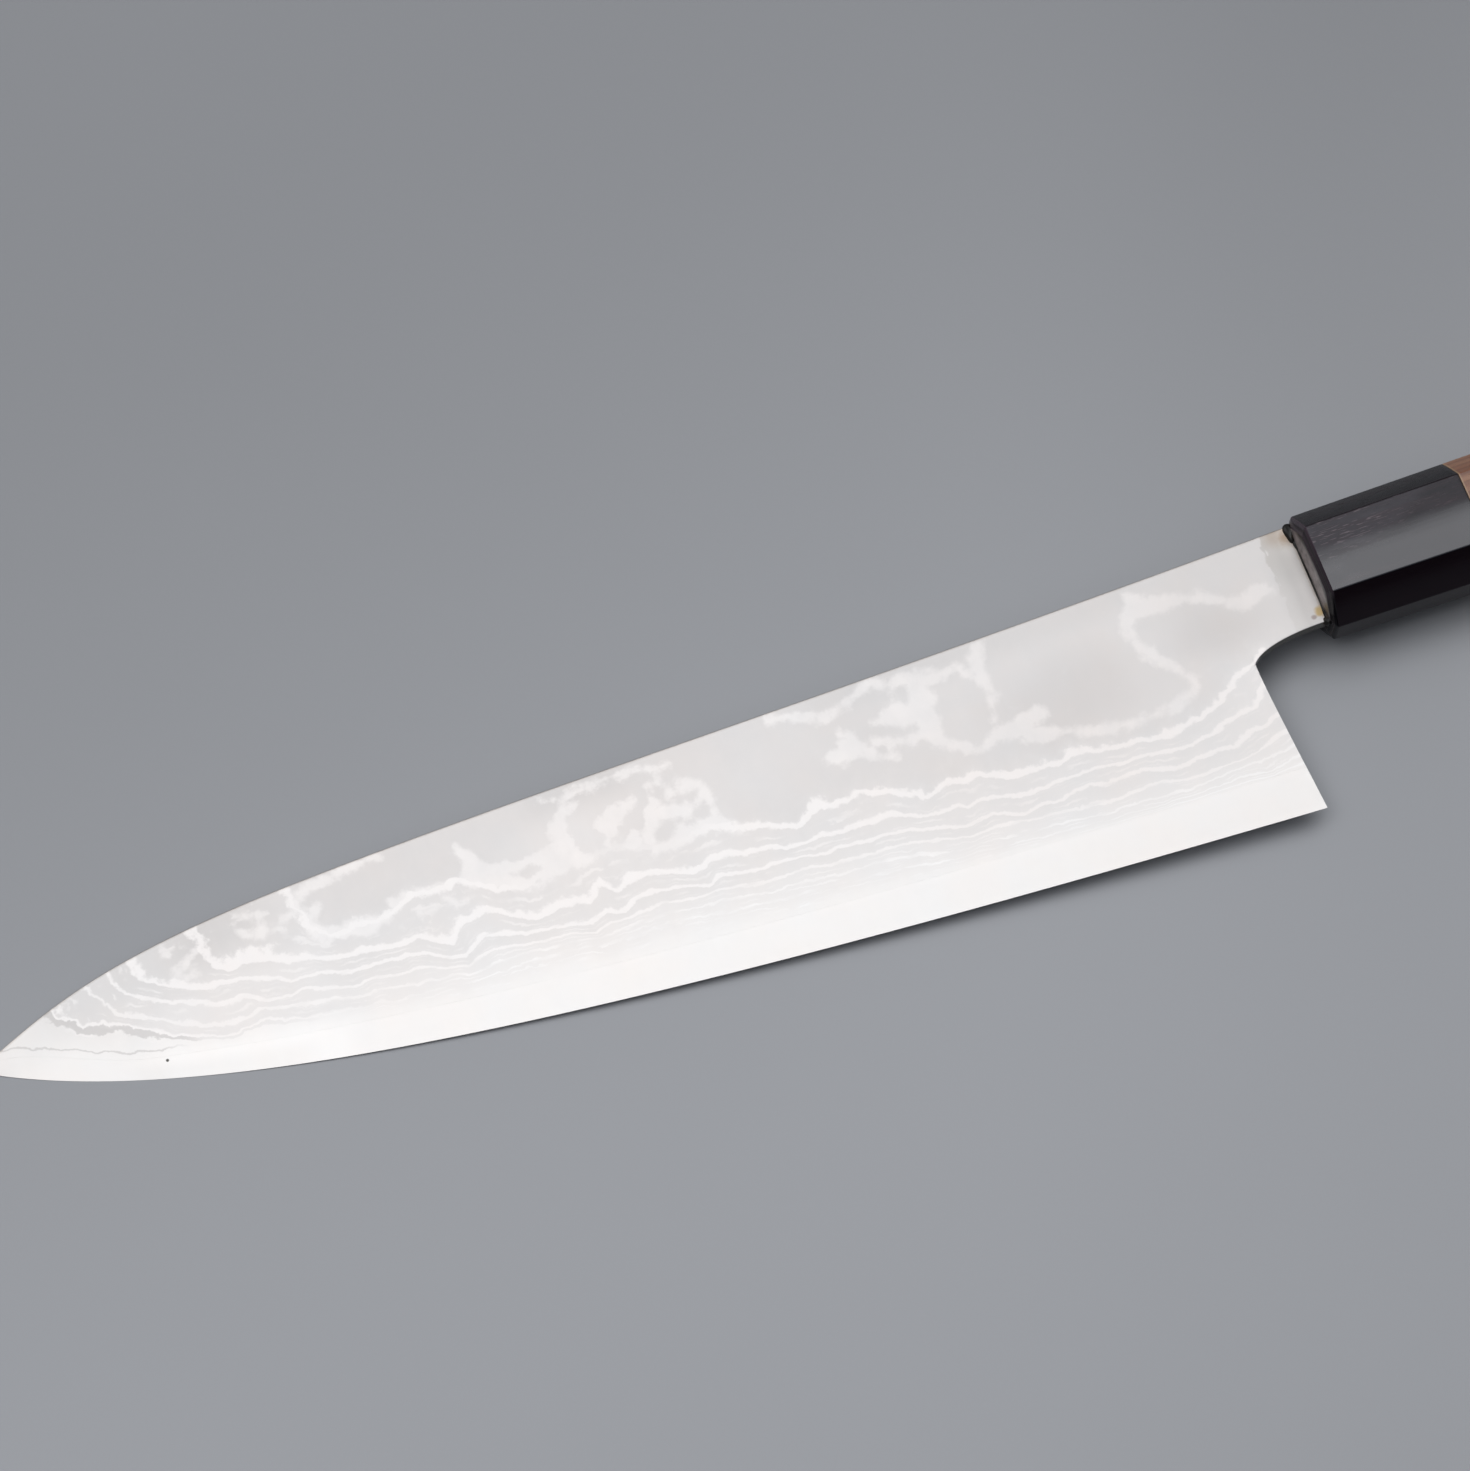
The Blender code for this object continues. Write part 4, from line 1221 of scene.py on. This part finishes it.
@dataclass(frozen=True)
class Blade:
    """The blade: a hard core between two layered sheets, with the tang that they share."""

    form: BladeForm
    place: Matrix
    stations: int = 320
    crowding: float = 1.15
    fan_length: float = 0.012
    heel_stations: int = 14
    choil_stations: int = 30
    rows: int = 60
    border_rows: tuple[float, ...] = (0.0, 0.0005, 0.0014, 0.0030, 0.0055, 0.0090)
    inner_rows: Span = (0.014, 0.986)
    core_rows: tuple[tuple[float, float, int], ...] = ((0.0, 0.75, 12), (0.77, 1.0, 20))
    core_start: float = 0.0003
    cladding_start: float = 0.0025
    join_gap: float = 0.00001

    def lines(self, start_gap: float, low_depth: Callable[[np.ndarray], np.ndarray]) -> list[tuple]:
        """Pairs of points on the spine and on a layer's lower border, from tip to tang.

        Args:
            start_gap: how far behind the tip the first pair stands.
            low_depth: share of the height, from spine to edge, at which the layer ends.

        Returns:
            The pairs, each as two (x, y) points.
        """
        form = self.form

        def low(x: float) -> np.ndarray:
            """The layer's lower border above the edge."""
            top = float(form.spine_y(x))
            return np.array((x, top - float(low_depth(x)) * (top - float(form.edge_y(x)))))

        start = form.tip_x + start_gap
        choil = np.array((form.heel_x - form.heel_rake, -form.choil_drop))
        heel = np.array((form.heel_x, -form.heel_drop))
        fan = choil[0] - self.fan_length
        spread = np.linspace(0.0, 1.0, self.stations) ** self.crowding
        pairs = [((x, float(form.spine_y(x))), low(x)) for x in start + (fan - start) * spread]
        up = (choil - heel) / np.linalg.norm(choil - heel)
        neck = np.array((0.0, -form.neck_underside_drop))
        turn = bezier(choil, choil + form.choil_rise_pull * up,
                      neck - np.array((form.neck_underside_pull, 0.0)), neck, self.choil_stations)
        rise = (low(form.heel_x)[1] - heel[1]) / (choil[1] - heel[1])
        back = [heel + share * (choil - heel) for share in np.linspace(rise, 1.0, self.heel_stations)]
        bridge = [low(x) for x in np.linspace(fan, back[0][0], self.heel_stations)[1:-1]]
        lower = bridge + back + list(turn[1:])
        upper = np.linspace(fan, form.neck_end, len(lower) + 1)[1:]
        pairs += [((x, float(form.spine_y(x))), point) for x, point in zip(upper, lower)]
        for x in (form.neck_end + self.join_gap, form.tang_length / 2, form.tang_length):
            half = form.tang_half(x)
            pairs.append(((x, half), np.array((x, -half))))
        return pairs

    def sheet_rings(self, pairs: list[tuple], rows: np.ndarray, upper: Callable,
                    lower: Callable) -> list[Ring]:
        """Closed rings round one layer.

        Args:
            pairs: the upper and lower border points of each ring.
            rows: the shares between them at which the ring has points.
            upper: the height of the outer face at x, y and at a distance from the nearest bare border.
            lower: the height of the other face.

        Returns:
            The rings.
        """
        rings = []
        for (x0, y0), (x1, y1) in pairs:
            x = x0 + rows * (x1 - x0)
            y = y0 + rows * (y1 - y0)
            long = math.hypot(x1 - x0, y1 - y0)
            bare_below = x1 > self.form.heel_x - self.form.heel_rake - 1e-6
            away = np.minimum(rows, 1.0 - rows if bare_below else 1.0) * long
            top = np.stack((x, y, upper(x, y, away)), 1)
            bottom = np.stack((x, y, lower(x, y, away)), 1)[::-1]
            rings.append(np.vstack((top, bottom)))
        return rings

    def rounding(self, x: np.ndarray, away: np.ndarray) -> np.ndarray:
        """How far the face falls at a distance from a bare border, where its corner is rounded.

        Args:
            x: places along the knife.
            away: the distances.

        Returns:
            The fall at each.
        """
        radius = np.minimum(self.form.edge_round, self.form.spine_half(x) * 0.45)
        near = np.clip(radius - away, 0.0, radius)
        return radius - np.sqrt(radius ** 2 - near ** 2)

    def core(self) -> bpy.types.Object:
        """The hard steel in the middle, bare along the edge.

        Returns:
            The core.
        """
        form = self.form

        def half(x: np.ndarray, y: np.ndarray, away: np.ndarray) -> np.ndarray:
            """Half the core's thickness."""
            return np.minimum(form.core_part(x) * form.spine_half(x), form.half_thickness(x, y))

        rows = np.concatenate([np.linspace(*span) for span in self.core_rows])
        pairs = self.lines(self.core_start, lambda x: 1.0)
        rings = self.sheet_rings(pairs, rows, half, lambda *place: -half(*place))
        return skin("core_steel_satin", rings, self.place)

    def cladding(self, side: Side) -> bpy.types.Object:
        """The layered sheet on one face.

        Args:
            side: the face.

        Returns:
            The sheet.
        """
        form = self.form
        sign = side.value
        spare = form.weld + form.feather

        def base(x: np.ndarray, y: np.ndarray, away: np.ndarray) -> np.ndarray:
            """Height of the welded face."""
            return form.core_part(x) * form.spine_half(x) + form.weld

        def top(x: np.ndarray, y: np.ndarray, away: np.ndarray) -> np.ndarray:
            """Height of the outer face."""
            ground = form.half_thickness(x, y) - self.rounding(x, away)
            return np.maximum(ground, base(x, y, away) + form.feather)

        close = np.array(self.border_rows)
        rows = np.concatenate((close, np.linspace(*self.inner_rows, self.rows), 1.0 - close[::-1]))
        pairs = self.lines(self.cladding_start, lambda x: form.core_depth(x, spare))
        rings = self.sheet_rings(pairs, rows, lambda *place: sign * top(*place),
                                 lambda *place: sign * base(*place))
        return skin(f"cladding_{side.name.lower()}_layered", rings, self.place)

    def build(self) -> None:
        """Makes the three steel pieces and dresses them."""
        steel = LayeredSteel()
        layers = LayerMap()
        for node, thing in (("core_steel", self.core()), ("cladding_left", self.cladding(Side.LEFT)),
                            ("cladding_right", self.cladding(Side.RIGHT))):
            layers.write(thing, self.form, self.place)
            settle(thing, node, steel, self.place)


@dataclass(frozen=True)
class Handle:
    """The octagonal handle: a dark collar, a wooden grip and what holds the tang inside. Sizes in metres.

    The front and butt sections are given by their height, their width, and the lengths of their side and
    top facets. The rounded ends are rows of steps along the handle and into it.
    """

    place: Matrix
    form: BladeForm
    ferrule_length: float = 0.0311
    length: float = 0.145
    front: tuple[float, float, float, float] = (0.0228, 0.0187, 0.0132, 0.0063)
    butt: tuple[float, float, float, float] = (0.0260, 0.0213, 0.0150, 0.0072)
    front_x: float = 0.0005
    front_inset: float = 0.0019
    end_bevel: float = 0.0013
    corner: float = 0.00020
    crown: float = 0.00014
    joint: float = 0.00004
    mouth_wall: float = 0.0080
    mouth_height: float = 0.0098
    mouth_width: float = 0.0036
    bore_radius: float = 0.00625
    bore_back: float = 0.1045
    facet_shares: tuple[float, ...] = (0.02, 0.07, 0.2, 0.35, 0.5, 0.65, 0.8, 0.93, 0.98)
    corner_steps: int = 4
    collar_start: float = 0.002
    collar_rows: int = 8
    grip_rows: int = 18
    row_margin: float = 0.001
    crease: float = 28.0
    collar_front: tuple[Span, ...] = ((0.0, 0.0006), (0.0, 0.00012), (0.00003, 0.00001), (0.00011, -0.00012))
    collar_bevel: tuple[Span, ...] = (
        (-0.00018, 0.00022), (-0.00006, 0.00010), (0.00006, 0.00002), (0.00025, 0.0))
    collar_back: tuple[Span, ...] = ((-0.00015, 0.0), (-0.00004, 0.00004), (0.0, 0.00014))
    grip_front: tuple[Span, ...] = ((0.0, 0.00012), (0.00004, 0.00003), (0.00014, 0.0))
    grip_bevel: tuple[Span, ...] = (
        (-0.0003, 0.0), (-0.00008, 0.00002), (0.00008, 0.00010), (0.00025, 0.00025))
    grip_butt: tuple[Span, ...] = (
        (-0.0002, -0.0002), (-0.00006, -0.00002), (0.0, 0.00012), (0.0, 0.0006), (0.0, 0.003))
    slot_power: float = 8.0
    neck_power: float = 12.0
    bead_rings: tuple[Span, ...] = ((-0.35, 0.1), (-0.05, 0.8), (0.5, 1.2), (0.98, 1.0))
    bead_rise: tuple[float, ...] = (0.00016, 0.00020, 0.00010, 0.00044)
    drops: tuple[tuple[Triple, Triple, float], ...] = (
        ((0.00025, 0.0090, 0.00125), (0.00100, 0.0020, 0.00090), 0.7),
        ((0.00042, 0.0070, 0.00140), (0.00034, 0.0014, 0.00030), 2.1),
        ((0.00035, -0.0090, 0.00110), (0.00075, 0.00085, 0.00085), 1.4),
        ((0.00045, -0.0078, 0.00150), (0.00028, 0.0008, 0.00030), 3.0))
    seal_fit: float = 0.0001
    drop_rows: int = 15
    drop_points: int = 28

    def section(self, x: float, inset: float = 0.0) -> Ring:
        """The octagon at a place along the handle, with softened corners and slightly crowned facets.

        Args:
            x: the place.
            inset: how far the section is drawn in.

        Returns:
            The ring of points.
        """
        t = x / self.length
        height, width, side, top = ((a + (b - a) * t) / 2 for a, b in zip(self.front, self.butt))
        normal = np.array((height - side, width - top))
        normal = normal[::-1] / np.linalg.norm(normal)
        reach = normal @ np.array((height, top)) - inset
        height, width = height - inset, width - inset
        top = (reach - normal[0] * height) / normal[1]
        side = (reach - normal[1] * width) / normal[0]
        quarter = np.array(((height, top), (side, width)))
        here = np.vstack((quarter, quarter[::-1] * (-1, 1), -quarter, quarter[::-1] * (1, -1)))
        after = np.roll(here, -1, 0)
        long = np.linalg.norm(after - here, axis=1, keepdims=True)
        ahead = (after - here) / long
        first, last = here - np.roll(ahead, 1, 0) * self.corner, here + ahead * self.corner
        out = np.column_stack((ahead[:, 1], -ahead[:, 0]))
        out = out * np.sign((out * (here + after)).sum(1, keepdims=True)) * self.crown * long / self.front[2]
        s = np.linspace(0.0, 1.0, self.corner_steps)[:, None, None]
        bends = (1 - s) ** 2 * first + 2 * s * (1 - s) * here + s ** 2 * last
        s = np.array(self.facet_shares)[:, None, None]
        facets = last + (after - ahead * self.corner - last) * s + out * 4 * s * (1 - s)
        flat = np.concatenate((bends, facets)).transpose(1, 0, 2).reshape(-1, 2)
        return np.column_stack((np.full(len(flat), x), flat))

    def hole(self, x: float, ring: Ring, height: float, width: float, power: float = 2.0) -> Ring:
        """An inner ring that matches an outer one point for point.

        Args:
            x: its place along the handle.
            ring: the outer ring.
            height: its full height.
            width: its full width.
            power: 2 for an ellipse, more for a rounder rectangle.

        Returns:
            The ring of points.
        """
        angle = np.arctan2(ring[:, 2] / width, ring[:, 1] / height)
        c, s = np.cos(angle), np.sin(angle)
        reach = (np.abs(c) ** power + np.abs(s) ** power) ** (-1.0 / power)
        return np.column_stack((np.full(len(ring), x), reach * c * height / 2, reach * s * width / 2))

    def ferrule(self) -> bpy.types.Object:
        """The dark collar, with its slotted front and the bore behind it.

        Returns:
            The collar.
        """
        bevel, back, start, inset = self.end_bevel, self.ferrule_length, self.front_x, self.front_inset
        outer = moved(self.collar_front, start, inset) + [((start + bevel) / 2, inset / 2)]
        outer += moved(self.collar_bevel, bevel)
        plain = np.linspace(bevel + self.collar_start, back - self.row_margin, self.collar_rows)
        outer += [(x, 0.0) for x in plain]
        outer += moved(self.collar_back, back)
        rings = [self.section(*place) for place in outer]
        bore, mouth = (2 * self.bore_radius,) * 2, (self.mouth_height, self.mouth_width, self.slot_power)
        for x, size in ((back, bore), (self.mouth_wall, bore), (self.mouth_wall, mouth), (start, mouth)):
            rings.append(self.hole(x, rings[0], *size))
        return skin("ferrule_polished", rings, self.place, closed=True, sharp=self.crease)

    def grip(self) -> bpy.types.Object:
        """The wooden grip, with its blind bore for the dowel.

        Returns:
            The grip.
        """
        start = self.ferrule_length + self.joint
        end, bevel = self.length, self.end_bevel
        outer = moved(self.grip_front, start)
        plain = np.linspace(start + self.row_margin, end - bevel - self.row_margin, self.grip_rows)
        outer += [(x, 0.0) for x in plain]
        outer += moved(self.grip_bevel, end - bevel) + [(end - bevel / 2, bevel / 2)]
        outer += moved(self.grip_butt, end, bevel)
        rings = [self.section(*place) for place in outer]
        bore = 2 * self.bore_radius
        inner = [self.hole(x, rings[0], bore, bore) for x in (self.bore_back, start)]
        return skin("grip_waxed", inner + rings, self.place, sharp=self.crease)

    def drop(self, centre: Triple, reach: Triple, turn: float) -> list[Ring]:
        """A dark lump by the neck, as rings from its lower end to its upper one.

        Args:
            centre: its middle.
            reach: its half sizes.
            turn: what sets its unevenness.

        Returns:
            The rings.
        """
        angle = np.linspace(0.0, 2.0 * math.pi, self.drop_points, endpoint=False)
        rings = []
        for t in np.linspace(0.03, 0.97, self.drop_rows) * math.pi:
            wave = 1.0 + 0.13 * np.sin(3.0 * angle + 2.0 * t + turn)
            wave = wave + 0.07 * np.sin(5.0 * angle - 3.0 * t + turn)
            wide = math.sin(t) ** 0.8 * wave
            rings.append(np.column_stack((centre[0] + np.cos(angle) * reach[0] * wide,
                                          np.full(len(angle), centre[1] - math.cos(t) * reach[1]),
                                          centre[2] + np.sin(angle) * reach[2] * wide)))
        return rings

    def seal(self) -> bpy.types.Object:
        """The resin in the collar's mouth and its bead, with dark lumps beside the top and bottom of the
        neck.

        Returns:
            The resin.
        """
        form = self.form
        base = self.section(0.0)
        angle = np.arctan2(base[:, 2], base[:, 1])
        ripple = 0.5 + 0.5 * np.sin(angle * 7.0 + 1.3) * np.sin(angle * 3.0 + 0.4)
        ripple = ripple + 0.35 * np.sin(angle * 23.0)
        neck = form.neck_spine_height + form.neck_underside_drop
        middle = (form.neck_spine_height - form.neck_underside_drop) / 2

        def bead(share: float, out: float) -> Ring:
            """A ring round the neck, at a share of the gap, that stands out by a share of the bead.

            Args:
                share: the share of the gap.
                out: the share of the bead.

            Returns:
                The ring.
            """
            x = form.neck_end + (self.front_x - form.neck_end) * share
            ring = self.hole(x, base, neck, form.neck_thickness, self.neck_power)
            reach = np.linalg.norm(ring[:, 1:], axis=1, keepdims=True)
            least, wave, low, high = self.bead_rise
            rise = np.clip(least + wave * ripple, low, high)
            ring[:, 1:] *= 1.0 + out * rise[:, None] / reach
            ring[:, 1] += middle
            return ring

        rings = [bead(*shares) for shares in self.bead_rings]
        fit, deep = self.seal_fit, self.mouth_wall - self.seal_fit
        outer = (self.mouth_height - fit, self.mouth_width - fit, self.slot_power)
        inner = (2 * form.tang_half(0.0) + fit, form.neck_thickness + fit, self.neck_power)
        front, shoulder = self.front_x - 0.00001, form.neck_end - 0.00007
        for x, size in ((front, outer), (deep, outer), (deep, inner), (shoulder, inner)):
            rings.append(self.hole(x, base, *size))
        thing = skin("machi_seal_bead", rings, self.place, closed=True, sharp=50.0)
        for centre, reach, turn in self.drops:
            join_meshes(thing, skin("dark_lump", self.drop(centre, reach, turn), self.place, sharp=60.0))
        return thing

    def build(self) -> None:
        """Makes the handle's pieces and dresses them."""
        settle(self.ferrule(), "ferrule", DarkWood(), self.place)
        settle(self.grip(), "grip", GripWood(), self.place)
        settle(self.seal(), "machi_seal", Adhesive(), self.place)


def dress_hidden(nodes: Mapping[str, bpy.types.Object], frame: Matrix) -> None:
    """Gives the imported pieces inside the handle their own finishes.

    Args:
        nodes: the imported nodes, by name.
        frame: the matrix of the knife's axes.
    """
    for node, finish in (("tang_dowel", PlainWood()), ("tang_bedding", Adhesive())):
        slots = nodes[node].data.materials
        slots.clear()
        slots.append(finish.dress(node + "_finish", frame))
        LOG.info("%s: packed solid with its own finish", node)


@dataclass(frozen=True)
class Studio:
    """The table, the lamps and the camera. Lengths in metres, angles in degrees."""

    target: tuple[float, float] = (-0.0527, 0.0240)
    distance: float = 0.7753
    azimuth: float = -19.30
    elevation: float = 64.04
    roll: float = -0.34
    lens: float = 105.0
    sensor: float = 36.0
    table_size: float = 3.0
    table_gap: float = 0.00002
    lamps: tuple[tuple[str, Triple, Span, float], ...] = (
        ("softbox", (-0.06, 0.17, 1.00), (1.60, 0.55), 1.6),
        ("softbox_rim", (-0.06, 0.15, 1.04), (2.20, 0.95), 0.7))
    clip: Span = (0.01, 20.0)
    room_colour: Colour = (0.92, 0.95, 1.0)
    room_rise: Window = (0.30, 0.92, 0.03, 0.46)
    backdrop: float = 0.40

    def camera(self) -> None:
        """Places the camera by what it looks at, its distance and its three angles."""
        a, e = math.radians(self.azimuth), math.radians(self.elevation)
        back = Vector((math.sin(a) * math.cos(e), -math.cos(a) * math.cos(e), math.sin(e)))
        data = bpy.data.cameras.new("camera")
        data.lens = self.lens
        data.sensor_width = self.sensor
        data.sensor_fit = "HORIZONTAL"
        data.clip_start, data.clip_end = self.clip
        camera = add_object("camera", data)
        turn = (-back).to_track_quat("-Z", "Y").to_matrix().to_4x4()
        place = Matrix.Translation(Vector((*self.target, 0.0)) + back * self.distance)
        camera.matrix_world = place @ turn @ Matrix.Rotation(math.radians(self.roll), 4, "Z")
        bpy.context.scene.camera = camera

    def table(self) -> None:
        """Lays the grey sheet under the knife."""
        bm = bmesh.new()
        bmesh.ops.create_grid(bm, x_segments=8, y_segments=8, size=self.table_size)
        mesh = bpy.data.meshes.new("table")
        bm.to_mesh(mesh)
        bm.free()
        sheet = add_object("table", mesh)
        sheet.location.z = -self.table_gap
        mesh.materials.append(TablePaper().dress("table_finish", Matrix.Identity(4)))

    def lamp(self, name: str, place: Triple, size: Span, radiance: float) -> None:
        """Hangs one soft panel that faces the middle of the table.

        Args:
            name: the lamp's name.
            place: its centre.
            size: its width and depth.
            radiance: how bright its surface is, where 1 is white.
        """
        data = bpy.data.lights.new(name, "AREA")
        data.shape = "RECTANGLE"
        data.size, data.size_y = size
        data.energy = radiance * math.pi * size[0] * size[1]
        panel = add_object(name, data)
        panel.location = place
        panel.rotation_mode = "QUATERNION"
        panel.rotation_quaternion = (-Vector(place)).to_track_quat("-Z", "Y")

    def light(self) -> None:
        """Hangs the softbox and sets the room's faint light."""
        for name, place, size, radiance in self.lamps:
            self.lamp(name, place, size, radiance)
        world = bpy.data.worlds.new("room")
        bpy.context.scene.world = world
        world.use_nodes = True
        g = Graph(world.node_tree)
        up = g.node("ShaderNodeSeparateXYZ", "Z", None, {0: g.node("ShaderNodeTexCoord", "Generated")})
        seen = g.node("ShaderNodeLightPath", "Is Camera Ray")
        glow = g.ease(up, *self.room_rise)
        strength = g.node("ShaderNodeMix", 0, None, {0: seen, 2: glow, 3: self.backdrop})
        background = g.tree.nodes["Background"]
        g.feed(background.inputs["Color"], self.room_colour)
        g.feed(background.inputs["Strength"], strength)

    def build(self) -> None:
        """Sets the scene up."""
        bpy.context.scene.view_settings.view_transform = "Standard"
        self.table()
        self.light()
        self.camera()


def knife_place(record: Mapping[str, Any], length: float) -> Matrix:
    """Reads how the knife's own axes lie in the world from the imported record's mounts.

    Args:
        record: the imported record.
        length: the handle's length, from the collar's front to the butt.

    Returns:
        The matrix that takes the knife's axes to the world.
    """
    mounts = {mount["name"]: mount for mount in record["mounts"]}
    along = Vector(mounts["butt_face"]["axis"]).normalized()
    up = along.cross(Vector(mounts["grip_side_face"]["axis"])).normalized()
    out = along.cross(up)
    origin = Vector(mounts["butt_face"]["pos_m"]) - along * length
    turn = Matrix((along, up, out)).transposed().to_4x4()
    return Matrix.Translation(origin) @ turn


def main() -> None:
    """Builds the knife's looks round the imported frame."""
    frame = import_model()
    form = BladeForm()
    place = knife_place(frame["record"], Handle.length)
    Blade(form, place).build()
    Handle(place, form).build()
    dress_hidden(frame["nodes"], place)
    Studio().build()
    bpy.context.view_layer.update()


if __name__ == "__main__":
    logging.basicConfig(level=logging.INFO)
    main()
